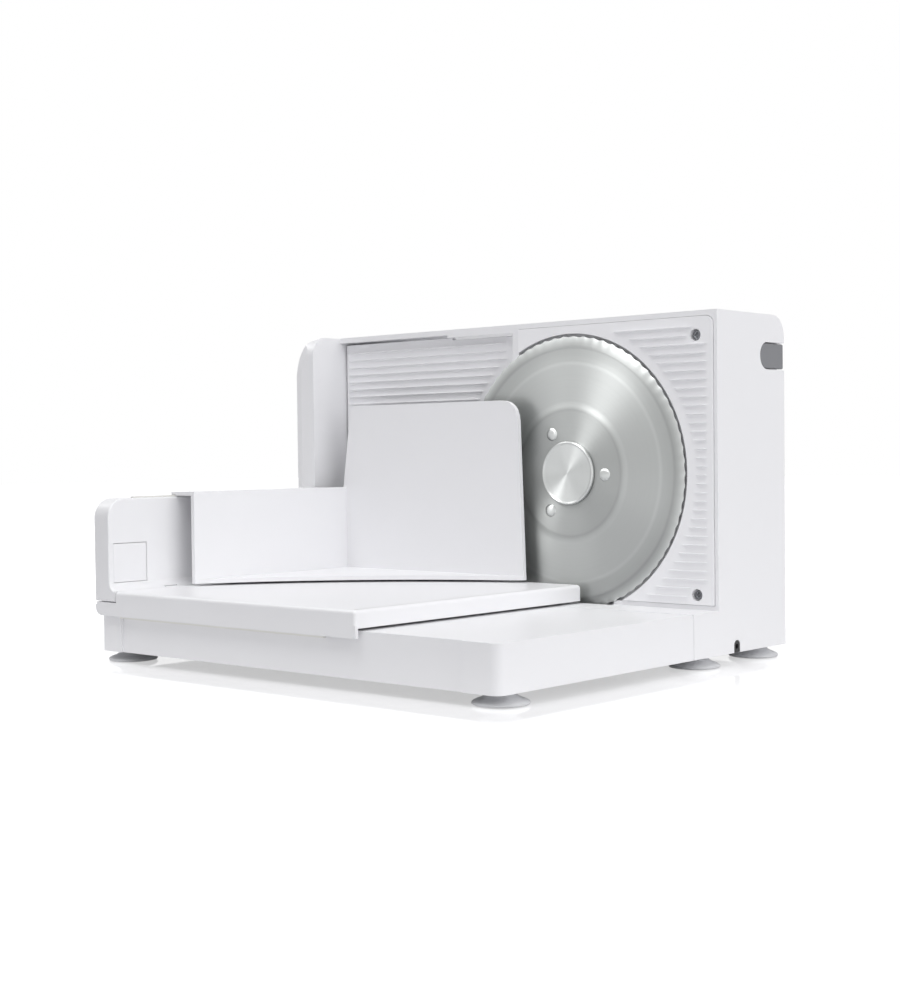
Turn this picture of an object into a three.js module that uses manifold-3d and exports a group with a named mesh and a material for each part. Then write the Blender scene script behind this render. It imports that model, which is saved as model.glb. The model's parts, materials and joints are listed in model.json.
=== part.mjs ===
// A folding electric food slicer, in millimetres, +Z up, standing on its feet at z = 0.
// Everything is placed in the blade's frame: the blade turns about the Y axis at x = 0, its front
// face is the plane y = 0, and the floor is z = 0. The last group moves that frame so that the
// origin of the part lies at the bottom centre of its box.
import * as THREE from "three";
import { mergeVertices } from "three/addons/utils/BufferGeometryUtils.js";
import Module from "manifold-3d";

const wasm = await Module();
wasm.setup();

// Driving sizes of the whole slicer
const bladeDiameter = 170;
const rimDrop = 4.8; // the blade's rim reaches this far below the deck
const standHeight = 7; // floor to the underside of base and table
const baseHeight = 26;
const roofClearance = 9.8; // roof above the blade's rim
const sideClearance = 22; // right side beyond the blade's rim
const bodyLeft = 222; // blade axis to the left side
const bodyBack = 77.6; // blade face to the back
const faceSet = 2; // the face stands this far behind the blade's front
const seamAhead = 24.4; // the seam between base and table, ahead of the blade face
const tableLength = 173;
const tableLeftSet = 6.7; // the table's left end inside the housing's
const wall = 3;
const roofWall = 3.5;
const gap = 0.3; // between pieces that touch
const overrun = 1; // how far a cutting tool runs past what it cuts
const edgeSides = 6; // steps of a rounded edge

const bladeRadius = bladeDiameter / 2;
const deck = standHeight + baseHeight;
const axisHeight = deck + bladeRadius - rimDrop;
const roof = axisHeight + bladeRadius + roofClearance;
const bodyRight = bladeRadius + sideClearance;
const tableLeft = bodyLeft - tableLeftSet;

// Housing
const backEdgeRadius = 13;
const postLeft = 45.6; // the motor post's left side, left of the blade axis
const columnWidth = 57; // the left column behind the fence
const columnFace = 31; // its front wall behind the blade face
const towerWidth = 19.3;
const towerEdgeRadius = 13;
const leftCornerReach = 22; // the rounding of the left top corner, across
const leftCornerRise = 30; // and down
const towerCornerWidth = 7;
const towerCornerDepth = 2.5;
const pocketDepth = 3.3; // the seat of the ribbed face panel
const doorMargin = 9; // the rear openings keep this rim inside the chambers
const doorBottom = 7; // and start this high above the deck
const slotShare = 0.376; // half the slot for the blade's lower rim, of the blade's radius
const slotDepth = 6.5;
const slotAhead = 1.5;

// Ribbed face panel
const panelLeft = 40.3;
const panelRightMargin = 2.7;
const panelBottomMargin = 2.9;
const panelTopMargin = 3.4;
const panelThickness = 4;
const panelCornerRadius = 5;
const ribPitch = 5.1;
const ribWidth = 1.2;
const ribRise = 1;
const bladeClearance = 1.5;
const panelScrewSideInset = 14.3; // from the housing's right side
const panelScrewInset = 5.8; // screw centres from the panel's lower edge
const panelScrewTopInset = 10.9; // and from its upper edge
const panelWellRadius = 3.6;
const panelWellWall = 1.5;

// Screws
const screwHeadRadius = 2.8;
const screwHeadHeight = 1.5;
const screwShankRadius = 1.3;
const screwLength = 9;
const screwSides = 12;
const bossRadius = 4;
const crossWidth = 0.9;
const crossDepth = 0.8;
const crossShare = 0.6; // the cross reaches over this much of the head's radius

// Blade and its drive
const bladeThickness = 1.8;
const bevelWidth = 8;
const bevelDrop = 0.9;
const dishRadius = 38.5; // of its flat middle
const dishRun = 6; // the slope round it
const dishDrop = 0.6;
const bladeSides = 96;
const capRadius = 19.8;
const capHeight = 2;
const shaftStub = 0.6; // into the cap
const capRimWidth = 2.2;
const capRimRise = 0.5;
const rivetCircle = 27.5;
const rivetHeadRadius = 4;
const rivetHeadRise = 0.9;
const rivetRadius = 1.9;
const rivetCount = 3;
const rivetPhase = -2; // degrees from +X
const flangeRadius = 33;
const flangeThickness = 2.4;
const shaftRadius = 6;
const shaftEnd = 68; // behind the blade face
const bushWall = 3;
const bushLength = 14;
const bushSides = 32;
const seatWall = 3.5; // round a bush
const gearModule = 2;
const gearTeeth = 36;
const gearWidth = 8;
const gearCentre = 42; // the gear's middle behind the blade face
const gearHubRadius = 11;
const gearHubLength = 18;
const gearToothShare = 0.4; // of the pitch, at the pitch circle
const rootDropShare = 1.2; // of the module
const flankShare = 0.1; // each flank leans by this share of the pitch over one module
const wormRadius = 8; // pitch radius
const wormTurns = 4;
const wormStepsPerTurn = 16;
const wormShaftRadius = 3;
const wormThreadShare = 0.38;
const runningGap = 0.3;

// Motor and its bracket
const motorRadius = 27;
const motorHeight = 62;
const motorFloorGap = 0.3;
const motorShaftDepth = 48;
const motorSides = 40;
const bracketThickness = 3;
const bracketLeft = 14;
const bracketFront = 16;
const bracketBack = 70;
const bracketPostX = 60;
const bracketPostWidth = 5;
const bracketPostDepth = 26;
const bracketArmRise = 21.4; // the upper arm above the gear's axis
const bracketArmDepth = 16;
const wormTop = 4; // shaft above the upper arm

// Rear covers, bottom cover
const coverThickness = 3;
const ventCount = 9;
const ventPitch = 7;
const ventWidth = 3;
const ventLength = 22;
const ventBottom = 12; // above the cover's lower edge
const coverScrewInset = 6;
const coverScrewDrop = 25; // screws from the cover's upper and lower edges
const bottomScrewInsetX = 120;
const bottomScrewInsetY = 9;

// Switch at the rear right edge
const buttonFront = 49.8;
const buttonDrop = 17.1; // its upper edge below the roof
const buttonHeight = 15.8;
const buttonInset = 0.4;
const buttonThickness = 2.3;
const buttonTravel = 2;
const buttonPocketDepth = 5;
const pocketFloor = 3;
const stemLength = 13;
const stemHeight = 9;
const switchDepth = 11;
const switchLength = 19;

// Cord inlet at the lower edge of the right side
const inletY = 21.6;
const inletWidth = 6.6;
const inletHeight = 7.4;
const grommetWall = 1.4;

// Thickness fence
const fenceSet = 7.5; // the fence's front behind the blade face, at rest
const fenceThickness = 3;
const fenceSideGap = 1.2;
const fenceTopGap = 1.3;
const fenceBottomGap = 1.5;
const fenceBack = 6; // travel from rest towards the blade
const fenceTravel = 15;
const carrierDepth = 9;
const carrierWidth = 13;
const carrierRise = 13; // its lower end above the deck
const carrierDrop = 18; // its upper end below the roof
const mechanismSet = 28.5; // knob axis inside the housing's left side
const knobRise = 6.8; // knob axis above the blade's
const rodRadius = 3;
const rodLength = 46;
const rodSpread = 50; // rods above and below the knob axis
const rodBossRadius = 6.5;
const rodBossLength = 10;
const rodSides = 20;
const armSize = 6;
const drumRadius = 14;
const drumLength = 27;
const drumMiddle = 51.5;
const grooveDepth = 4;
const pinRadius = 2;
const pinClearance = 0.4;
const turnPerTravel = 20; // degrees of the knob for each millimetre of the fence
const grooveMargin = 14; // degrees past both ends of travel
const grooveStep = 12; // degrees
const spindleRadius = 4;
const knobRadius = 19;
const knobDepth = 13.4;
const knobFlutes = 18;
const knobFluteDepth = 1.2;
const stepsPerFlute = 4;
const pointerWidth = 3;
const pointerRise = 1;

// Table
const tableFloorWall = 3;
const tableRecess = 1.5;
const tableLeftBlock = 21.4;
const tableRightBlock = 24;
const tableCornerRadius = 6;
const hingeRadius = 2.5; // the table's rounded rear edge, about the pin
const seamGap = 0.4;
const hingePinRadius = 1.2;
const hingePinLength = 30;
const knuckleWidth = 12;
const knuckleInset = 45; // hinge middles from the base's ends
const roofStepX = 101.3; // left of the blade axis; from here to the post the roof's lip is deeper
const roofStepDrop = 1.6;
const roofLipDepth = 4;

// Feet
const footRadius = 15;
// The foot's outline, as shares of its radius and height
const footProfileShares = [[0.97, 0], [1, 0.2], [0.9, 0.4], [0.58, 0.68], [0.48, 1]];
const footStemRadius = 4;
const footStemRise = 5;
const footBossRadius = 10.6;
const footSides = 36;
const footInset = 13; // from the right side
const footLeftInset = 17.5;
const footFrontInset = 17;
const footRearInset = 16.6;
const footSeamInset = 20;

// Carriage
const carriageRise = 11.5; // its top above the deck
const carriageGap = 1.5; // its underside above the deck
const carriageRight = 11.5; // right of the blade axis
const skirtAhead = 3.1; // the carriage's front ahead of the table's
const carriageBackAhead = 3.4;
const carriageWall = 3;
const skirtThickness = 2;
const skirtDrop = 3.8; // below the deck
const towerClearance = 0.8;
const runnerThickness = 2;
const runnerHeight = 4.6;
const runnerLength = 178;

// Carriage wall, folding inwards
const wallThickness = 14.2;
const wallRise = 56.5; // its top above the carriage's
const wallSeamDrop = 6.5; // the seam below the carriage's top
const wallEdgeRadius = 12;
const filletRadius = 5.6;
const seamClearance = 1;
const seamSlot = 0.6; // the slot under the wall
const wallPinRadius = 0.9;
const wallPinOffset = 1.5; // the pin inside the fillet's toe
const earWidth = 10;
const earInset = 45;
const earRadius = 1.9;
const latchInset = 3.9; // from the wall's front
const latchWidth = 25;
const latchRise = 4.8; // above the carriage's top
const latchHeight = 23.9;
const latchThickness = 2;
const latchTravel = 1.5;
const grooveDepthInWall = 6;
const grooveWidth = 3;
const grooveLip = 1.4;
const grooveEnds = 8;

// Pusher
const railWidth = 2.2;
const railRise = 1; // above the wall's top
const railEndGap = 0.5;
const legSet = 31.3; // the leg's inner face from the carriage's left side
const sheet = 3;
const legSetBack = 53.5; // behind the carriage's front
const plateAhead = 12;
const plateRight = 27.4; // left of the blade axis, at the foot
const plateRise = 115; // above the carriage's top
const plateDraft = 3.8; // the right edge leans in by this much
const plateLeftDraft = 8; // and the left edge above the hook
const plateCornerRadius = 14;
const pusherGap = 1.5; // above the carriage
const pusherFloor = 2.7;
const pusherFloorSteps = 16;
const floorDrawShare = 0.32; // where the curve of the floor's front edge points, from the corner
const hookReach = 22.5;
const hookThickness = 2.5;
const hookGap = 0.5; // hook above the wall's top

const white = { color: 0xf1f1f3, roughness: 0.35, metalness: 0 };
const lightGrey = { color: 0xd9d9dc, roughness: 0.45, metalness: 0 };
const midGrey = { color: 0x8b8d90, roughness: 0.6, metalness: 0 };
const darkGrey = { color: 0x3a3c40, roughness: 0.6, metalness: 0 };
const steel = { color: 0xb9bdb8, roughness: 0.3, metalness: 1 };
const zincSteel = { color: 0x9a9ca0, roughness: 0.4, metalness: 1 };
const nylon = { color: 0xe6e2d4, roughness: 0.5, metalness: 0 };

// Solids and shapes

function toSolid(geometry) {
  const flat = geometry.index ? geometry.toNonIndexed() : geometry.clone();
  for (const name of Object.keys(flat.attributes)) {
    if (name !== "position") flat.deleteAttribute(name);
  }
  const merged = mergeVertices(flat, 1e-4);
  const mesh = new wasm.Mesh({
    numProp: 3,
    vertProperties: merged.attributes.position.array,
    triVerts: new Uint32Array(merged.index.array),
  });
  return new wasm.Manifold(mesh);
}

function toGeometry(solid) {
  const mesh = solid.getMesh();
  return new THREE.BufferGeometry()
    .setAttribute("position", new THREE.BufferAttribute(mesh.vertProperties, 3))
    .setIndex(new THREE.BufferAttribute(mesh.triVerts, 1));
}

const join = (...pieces) =>
  toGeometry(pieces.map(toSolid).reduce((whole, piece) => whole.add(piece)));

const cut = (base, ...tools) =>
  toGeometry(tools.map(toSolid).reduce((whole, tool) => whole.subtract(tool), toSolid(base)));

function block([x0, x1], [y0, y1], [z0, z1]) {
  return new THREE.BoxGeometry(x1 - x0, y1 - y0, z1 - z0)
    .translate((x0 + x1) / 2, (y0 + y1) / 2, (z0 + z1) / 2);
}

// Maps a shape drawn in a plane, extruded along that plane's normal: x takes (y, z), y takes
// (x, z) and z takes (x, y).
const planes = {
  x: (from) => new THREE.Matrix4().set(0, 0, 1, from, 1, 0, 0, 0, 0, 1, 0, 0, 0, 0, 0, 1),
  y: (from, to) => new THREE.Matrix4().set(1, 0, 0, 0, 0, 0, -1, to, 0, 1, 0, 0, 0, 0, 0, 1),
  z: (from) => new THREE.Matrix4().makeTranslation(0, 0, from),
};

function slab(shape, axis, from, to, steps = edgeSides) {
  const options = { depth: to - from, bevelEnabled: false, curveSegments: steps };
  return new THREE.ExtrudeGeometry(shape, options).applyMatrix4(planes[axis](from, to));
}

function outline(points) {
  const shape = new THREE.Shape();
  points.forEach(([a, b], i) => (i ? shape.lineTo(a, b) : shape.moveTo(a, b)));
  shape.closePath();
  return shape;
}

// A rectangle with one radius for each corner: lower left, lower right, upper right, upper left.
function plateShape([a0, a1], [b0, b1], [r0, r1, r2, r3]) {
  const shape = new THREE.Shape();
  shape.moveTo(a0 + r0, b0);
  shape.lineTo(a1 - r1, b0);
  if (r1) shape.absarc(a1 - r1, b0 + r1, r1, -Math.PI / 2, 0);
  shape.lineTo(a1, b1 - r2);
  if (r2) shape.absarc(a1 - r2, b1 - r2, r2, 0, Math.PI / 2);
  shape.lineTo(a0 + r3, b1);
  if (r3) shape.absarc(a0 + r3, b1 - r3, r3, Math.PI / 2, Math.PI);
  shape.lineTo(a0, b0 + r0);
  if (r0) shape.absarc(a0 + r0, b0 + r0, r0, Math.PI, Math.PI * 1.5);
  return shape;
}

const turns = {
  x: (g) => g.rotateZ(-Math.PI / 2),
  y: (g) => g,
  z: (g) => g.rotateX(Math.PI / 2),
};

// A round bar along an axis, through a point given as [x, y, z].
function bar(axis, radius, from, to, [x, y, z], sides = rodSides) {
  const long = turns[axis](new THREE.CylinderGeometry(radius, radius, to - from, sides));
  const middle = (from + to) / 2;
  const at = { x: [middle, y, z], y: [x, middle, z], z: [x, y, middle] }[axis];
  return long.translate(...at);
}

// A turned piece: its profile holds [radius, place along the axis], climbing on the outside.
function turned(profile, axis, [x, y, z], sides) {
  const points = profile.map(([r, h]) => new THREE.Vector2(r, h));
  return turns[axis](new THREE.LatheGeometry(points, sides)).translate(x, y, z);
}

function ring(axis, inner, outer, from, to, at, sides) {
  const profile = [[inner, from], [outer, from], [outer, to], [inner, to], [inner, from]];
  return turned(profile, axis, at, sides);
}

// Joins rings of points, each with the same count, into one closed skin with flat ends.
function skin(rings) {
  const count = rings[0].length;
  const positions = rings.flat(2);
  const index = [];
  for (let i = 0; i + 1 < rings.length; i++) {
    for (let j = 0; j < count; j++) {
      const a = i * count + j;
      const b = i * count + ((j + 1) % count);
      index.push(a, b, b + count, a, b + count, a + count);
    }
  }
  return { positions, index, count, last: (rings.length - 1) * count };
}

function skinGeometry({ positions, index }, caps) {
  return new THREE.BufferGeometry()
    .setAttribute("position", new THREE.Float32BufferAttribute(positions, 3))
    .setIndex([...index, ...caps]);
}

// A four-cornered section swept along rings, closed by two quads. The corners of each ring
// turn left-handed about the way the rings are listed.
function sweep(rings) {
  const made = skin([...rings].reverse());
  const n = made.last;
  return skinGeometry(made, [0, 2, 1, 0, 3, 2, n, n + 1, n + 2, n, n + 2, n + 3]);
}

const rad = (degrees) => THREE.MathUtils.degToRad(degrees);

const slicer = new THREE.Group();

function add(name, geometry, look, group = slicer) {
  const mesh = new THREE.Mesh(geometry, new THREE.MeshStandardMaterial(look));
  mesh.name = name;
  group.add(mesh);
  return mesh;
}

// The lower and upper end of a span between two places.
const between = (a, b) => [Math.min(a, b), Math.max(a, b)];

// A screw whose head faces `towards` (+1 or -1) along an axis, the head's outside at `face`.
function screw(axis, face, towards, at) {
  const under = face - towards * screwHeadHeight;
  const slotFloor = face - towards * crossDepth;
  const along = { x: 0, y: 1, z: 2 }[axis];
  const shank = bar(axis, screwShankRadius, ...between(under - towards * screwLength, slotFloor),
    at, screwSides);
  const head = bar(axis, screwHeadRadius, ...between(under, face), at, screwSides);
  const reach = screwHeadRadius * crossShare;
  const slots = [0, 1, 2].filter((long) => long !== along).map((long) => {
    const spans = at.map((c, i) => {
      const half = i === long ? reach : crossWidth / 2;
      return [c - half, c + half];
    });
    spans[along] = between(slotFloor, face + towards * overrun);
    return block(...spans);
  });
  return cut(join(shank, head), ...slots);
}

// Housing: base, tower, left column, motor post and roof are one moulding, open at the back

const faceBack = faceSet + pocketDepth + wall;
const slotHalfLength = bladeRadius * slotShare;
const panelScrewX = bodyRight - panelScrewSideInset;
const buttonTop = roof - buttonDrop;
const buttonBottom = buttonTop - buttonHeight;
const mechanismX = bodyLeft - mechanismSet; // left of the blade axis
const knobHeight = axisHeight + knobRise;
const rearInside = bodyBack - wall;
const postInside = -postLeft + wall;
const rightInside = bodyRight - wall;
const columnRight = -bodyLeft + columnWidth;
const towerRight = -bodyLeft + towerWidth;
const hingeY = -seamAhead - seamGap - hingeRadius;
const hingeZ = deck - hingeRadius;
const atHinge = [0, hingeY, hingeZ];
const baseInsideTop = deck - wall;
const doorTop = roof - backEdgeRadius - wall;

// A chamber's side outline, with the roof's rounded rear edge inside the wall.
function chamberShape(front, bottom) {
  const radius = backEdgeRadius - wall;
  return plateShape([front, rearInside], [bottom, roof - roofWall], [0, 0, radius, 0]);
}

function bodyShape() {
  const shape = new THREE.Shape();
  shape.moveTo(-seamAhead, standHeight);
  shape.lineTo(bodyBack, standHeight);
  shape.lineTo(bodyBack, roof - backEdgeRadius);
  shape.absarc(bodyBack - backEdgeRadius, roof - backEdgeRadius, backEdgeRadius, 0, Math.PI / 2);
  shape.lineTo(faceSet, roof);
  shape.lineTo(faceSet, deck);
  shape.lineTo(-seamAhead, deck);
  shape.closePath();
  return shape;
}

function towerShape() {
  const shape = new THREE.Shape();
  shape.moveTo(-seamAhead, deck - wall);
  shape.lineTo(columnFace + wall, deck - wall);
  shape.lineTo(columnFace + wall, roof);
  shape.lineTo(-seamAhead + towerEdgeRadius, roof);
  shape.absarc(-seamAhead + towerEdgeRadius, roof - towerEdgeRadius, towerEdgeRadius,
    Math.PI / 2, Math.PI);
  shape.closePath();
  return shape;
}

// Points up the left side and round its top corner, at a distance inside it, as [x, z].
function leftEdge(inset) {
  const [reach, rise] = [leftCornerReach - inset, leftCornerRise - inset];
  const corner = Array.from({ length: rodSides + 1 }, (_, i) => {
    const turn = Math.PI * (1 - i / rodSides / 2);
    return [-bodyLeft + leftCornerReach + reach * Math.cos(turn),
      roof - leftCornerRise + rise * Math.sin(turn)];
  });
  return [[-bodyLeft + inset, deck], ...corner];
}

// What lies outside the rounded left top corner, at a distance inside it.
function outsideCorner(inset) {
  const [, ...corner] = leftEdge(inset);
  const beyond = [[-bodyLeft + leftCornerReach, roof + overrun], [-bodyLeft - overrun, roof + overrun],
    [-bodyLeft - overrun, roof - leftCornerRise]];
  return slab(outline([...corner, ...beyond]), "y", -seamAhead - overrun, bodyBack + overrun);
}

// The flat bevel between the tower's front and the left side, as a tool that cuts it.
function towerBevel() {
  const behind = towerCornerDepth * (1 + overrun / towerCornerWidth);
  const inner = leftEdge(towerCornerWidth);
  return sweep(leftEdge(-overrun).map(([x, z], i) => {
    const [innerX, innerZ] = inner[i];
    return [[x, -seamAhead + behind, z], [innerX, -seamAhead, innerZ],
      [innerX, -seamAhead - overrun, innerZ], [x, -seamAhead - overrun, z]];
  }));
}

const panelX = [-panelLeft, bodyRight - panelRightMargin];
const panelZ = [deck + panelBottomMargin, roof - panelTopMargin];
const panelScrews = [panelZ[0] + panelScrewInset, panelZ[1] - panelScrewTopInset]
  .map((z) => [panelScrewX, 0, z]);
const rearDoors = {
  motor: [postInside + doorMargin / 2, rightInside - doorMargin],
  dial: [-bodyLeft + wall + doorMargin / 2, columnRight - wall - doorMargin / 2],
};
const doorZ = [deck + doorBottom, doorTop];
const bottomX = [-bodyLeft + wall, bodyRight - wall];
const bottomY = [-seamAhead + wall, rearInside];
const bottomScrews = [-1, 1].flatMap((sx) => [-1, 1].map((sy) => [
  sx < 0 ? bottomX[0] + bottomScrewInsetX : bottomX[1] - bottomScrewInsetX,
  sy < 0 ? bottomY[0] + bottomScrewInsetY : bottomY[1] - bottomScrewInsetY,
]));
const hingeStations = [-bodyLeft + knuckleInset, bodyRight - knuckleInset];
const atAxis = [0, 0, axisHeight];
const atKnob = [-mechanismX, 0, knobHeight];
const rodPlaces = {
  lower: [-mechanismX, 0, knobHeight - rodSpread],
  upper: [-mechanismX, 0, knobHeight + rodSpread],
};
const buttonMid = (buttonBottom + buttonTop) / 2;
const drumFront = drumMiddle - drumLength / 2;
const drumBack = drumMiddle + drumLength / 2;

function doorScrews([x0, x1]) {
  const z = [doorZ[0] + coverScrewDrop, doorZ[1] - coverScrewDrop];
  return [x0 + coverScrewInset, x1 - coverScrewInset].flatMap((x) => z.map((zz) => [x, zz]));
}

// The boss behind each rear cover screw reaches to the chamber's side wall.
function doorBosses(door, [low, high]) {
  return doorScrews(door).map(([x, z]) => {
    const nearLow = x - low < high - x;
    const side = nearLow ? [low - overrun, x + bossRadius] : [x - bossRadius, high + overrun];
    const back = rearInside - gap;
    return block(side, [back - screwLength - wall, back], [z - bossRadius, z + bossRadius]);
  });
}

function buttonShape(inset) {
  const radius = (buttonTop - buttonBottom) / 2 - inset;
  return plateShape([buttonFront + inset, bodyBack - inset], [buttonBottom + inset, buttonTop - inset],
    [radius - gap, 0, 0, radius - gap]);
}

function housingShell() {
  const rearCavity = (x0, x1, front, bottom) => slab(chamberShape(front, bottom), "x", x0, x1);
  const body = join(
    slab(bodyShape(), "x", -bodyLeft, bodyRight),
    slab(towerShape(), "x", -bodyLeft, towerRight),
  );
  const fenceBay = block([towerRight, -postLeft], [-overrun, columnFace], [deck, roof - roofWall]);
  const outletBay = block([columnRight, -postLeft], [0, bodyBack + overrun], [deck, roof - roofWall]);
  const baseCavity = block(bottomX, bottomY, [standHeight - overrun, baseInsideTop]);
  const motorChamber = rearCavity(postInside, rightInside, faceBack, standHeight + coverThickness);
  const insideCorner = outsideCorner(wall);
  const leftChamber = cut(rearCavity(-bodyLeft + wall, columnRight - wall, columnFace + wall,
    baseInsideTop - overrun), insideCorner);
  const towerHollow = cut(block([-bodyLeft + wall, towerRight - wall],
    [-seamAhead + towerEdgeRadius, columnFace + wall + overrun],
    [baseInsideTop - overrun, roof - roofWall - towerEdgeRadius / 2]), insideCorner);
  const doors = Object.values(rearDoors).map((x) =>
    block(x, [rearInside - overrun, bodyBack + overrun], doorZ));
  const pocket = slab(plateShape([panelX[0] - gap, panelX[1] + gap], [panelZ[0] - gap, panelZ[1] + gap],
    [0, 0, panelCornerRadius, 0]), "y", faceSet - overrun, faceSet + pocketDepth);
  const bladeSlot = block([-slotHalfLength, slotHalfLength], [-slotAhead, faceSet + pocketDepth],
    [deck - slotDepth, panelZ[0] + overrun]);
  let shell = cut(body, fenceBay, outletBay, baseCavity, motorChamber, leftChamber, towerHollow,
    outsideCorner(0), towerBevel(), pocket, bladeSlot, ...doors);

  const shaftSeat = shaftRadius + runningGap + bushWall + gap;
  const seatEnd = faceSet + pocketDepth + bushLength;
  const faceBoss = bar("y", shaftSeat + seatWall, faceBack - overrun, seatEnd, atAxis, bushSides);
  const panelBosses = panelScrews.map((at) =>
    bar("y", bossRadius, faceBack - overrun, faceBack + screwLength, at, rodSides));
  const bottomBosses = bottomScrews.map(([x, y]) => {
    const wallSide = y < bottomY[0] + bodyBack / 2
      ? [bottomY[0] - overrun, y + bossRadius] : [y - bossRadius, bottomY[1] + overrun];
    return block([x - bossRadius, x + bossRadius], wallSide,
      [standHeight + coverThickness + gap, baseInsideTop + overrun]);
  });
  const rodBosses = Object.values(rodPlaces).map((at) =>
    bar("y", rodBossRadius, columnFace + wall - overrun, columnFace + wall + rodBossLength, at));
  const switchFloor = block([bodyRight - buttonPocketDepth - pocketFloor, rightInside + overrun],
    [buttonFront - wall, rearInside], [buttonBottom - wall, buttonTop + wall]);
  const knuckles = hingeStations.map((x) => join(
    bar("x", hingeRadius, x - knuckleWidth / 2, x + knuckleWidth / 2, atHinge, bushSides),
    block([x - knuckleWidth / 2, x + knuckleWidth / 2], [hingeY, -seamAhead + overrun],
      [hingeZ - hingeRadius, hingeZ]),
  ));
  const roofLip = block([-roofStepX, -postLeft + overrun], [faceSet, faceSet + roofLipDepth],
    [roof - roofWall - roofStepDrop, roof - roofWall + overrun]);
  const spindleBoss = bar("y", spindleRadius + runningGap + seatWall, columnFace + wall - overrun,
    drumFront - gap, atKnob);
  shell = join(shell, faceBoss, roofLip, spindleBoss, ...panelBosses, ...bottomBosses,
    ...rodBosses, switchFloor, ...knuckles,
    ...doorBosses(rearDoors.motor, [postInside, rightInside]),
    ...doorBosses(rearDoors.dial, [-bodyLeft + wall, columnRight - wall]));

  const hole = screwShankRadius + gap;
  const shaftBore = bar("y", shaftSeat, faceSet, seatEnd + overrun, atAxis, bushSides);
  const panelHoles = panelScrews.map((at) =>
    bar("y", hole, faceSet, faceBack + screwLength - gap, at, screwSides));
  const bottomHoles = bottomScrews.map(([x, y]) =>
    bar("z", hole, standHeight, baseInsideTop - gap, [x, y, 0], screwSides));
  const doorHoles = Object.values(rearDoors).flatMap(doorScrews).map(([x, z]) =>
    bar("y", hole, rearInside - gap - screwLength - gap, bodyBack, [x, 0, z], screwSides));
  const rodBores = Object.values(rodPlaces).map((at) =>
    bar("y", rodRadius + runningGap, columnFace - overrun,
      columnFace + wall + rodBossLength + overrun, at));
  const armHalf = armSize / 2 + runningGap;
  const armZ = knobHeight - drumRadius - gap - armSize / 2;
  const armSlot = block([-mechanismX - armHalf, -mechanismX + armHalf],
    [columnFace - overrun, columnFace + wall + overrun], [armZ - armHalf, armZ + armHalf]);
  const buttonPocket = slab(buttonShape(-gap), "x", bodyRight - buttonPocketDepth, bodyRight + overrun);
  const stemHole = block([bodyRight - buttonPocketDepth - pocketFloor - overrun, bodyRight],
    [buttonFront + wall - gap, buttonFront + wall + stemLength + gap],
    [buttonMid - stemHeight / 2 - gap, buttonMid + stemHeight / 2 + gap]);
  const inletRadius = inletWidth / 2 - gap;
  const inlet = slab(plateShape([inletY - inletWidth / 2, inletY + inletWidth / 2],
    [standHeight - overrun, standHeight + inletHeight], [0, 0, inletRadius, inletRadius]),
  "x", rightInside - overrun, bodyRight + overrun);
  const pinHoles = hingeStations.map((x) =>
    bar("x", hingePinRadius + gap, x - knuckleWidth, x + knuckleWidth, atHinge, screwSides));
  const spindleBore = bar("y", spindleRadius + runningGap, columnFace + gap, drumFront, atKnob);
  return cut(shell, shaftBore, spindleBore, ...panelHoles, ...bottomHoles, ...doorHoles,
    ...rodBores, armSlot, buttonPocket, stemHole, inlet, ...pinHoles);
}

add("housing_shell", housingShell(), white);

// Ribbed sheet: small ridges along X on the front of a plate
function ribbedShape(front, back, [z0, z1]) {
  const points = [[back, z0], [back, z1], [front, z1]];
  const count = Math.floor((z1 - z0 - ribPitch) / ribPitch);
  for (let i = count; i >= 0; i--) {
    const z = z0 + (z1 - z0 - count * ribPitch) / 2 + i * ribPitch;
    points.push([front, z + ribWidth / 2], [front - ribRise, z], [front, z - ribWidth / 2]);
  }
  points.push([front, z0]);
  return outline(points.reverse());
}

function bladeOpening(from, to) {
  return bar("y", bladeRadius + bladeClearance, from, to, atAxis, bladeSides);
}

const panelBack = faceSet + pocketDepth - gap;
const panelFront = panelBack - panelThickness;

function facePanel() {
  const sheetSolid = slab(ribbedShape(panelFront, panelBack, panelZ), "x", ...panelX);
  const through = [panelFront - ribRise - overrun, panelBack + overrun];
  const cornerX = panelX[1] - panelCornerRadius;
  const cornerZ = panelZ[1] - panelCornerRadius;
  const cornerTool = cut(
    block([cornerX, panelX[1] + overrun], through, [cornerZ, panelZ[1] + overrun]),
    bar("y", panelCornerRadius, through[0] - overrun, through[1] + overrun, [cornerX, 0, cornerZ],
      bladeSides / 2),
  );
  // Left of the blade's slot nothing is left of the panel below the blade axis
  const lowerLeft = block([panelX[0] - overrun, -slotHalfLength], through,
    [panelZ[0] - overrun, axisHeight]);
  const seats = panelScrews.map((at) =>
    bar("y", panelWellRadius + panelWellWall, panelFront - ribRise / 2, panelBack, at));
  const wells = panelScrews.map((at) =>
    bar("y", panelWellRadius, through[0], panelBack - gap, at));
  const holes = panelScrews.map((at) =>
    bar("y", screwShankRadius + gap, faceSet, through[1], at, screwSides));
  const opened = cut(sheetSolid, bladeOpening(-overrun, through[1]), cornerTool, lowerLeft);
  return cut(join(opened, ...seats), ...wells, ...holes);
}

add("face_panel", facePanel(), lightGrey);
["bottom", "top"].forEach((place, i) => {
  add("panel_screw_" + place, screw("y", panelBack - gap - gap - screwHeadHeight, -1,
    panelScrews[i]), zincSteel);
});

// Rear covers, bottom cover and their screws

const coverBack = bodyBack;

function coverPlate([x0, x1]) {
  return block([x0 + gap, x1 - gap], [rearInside, coverBack], [doorZ[0] + gap, doorZ[1] - gap]);
}

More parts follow.
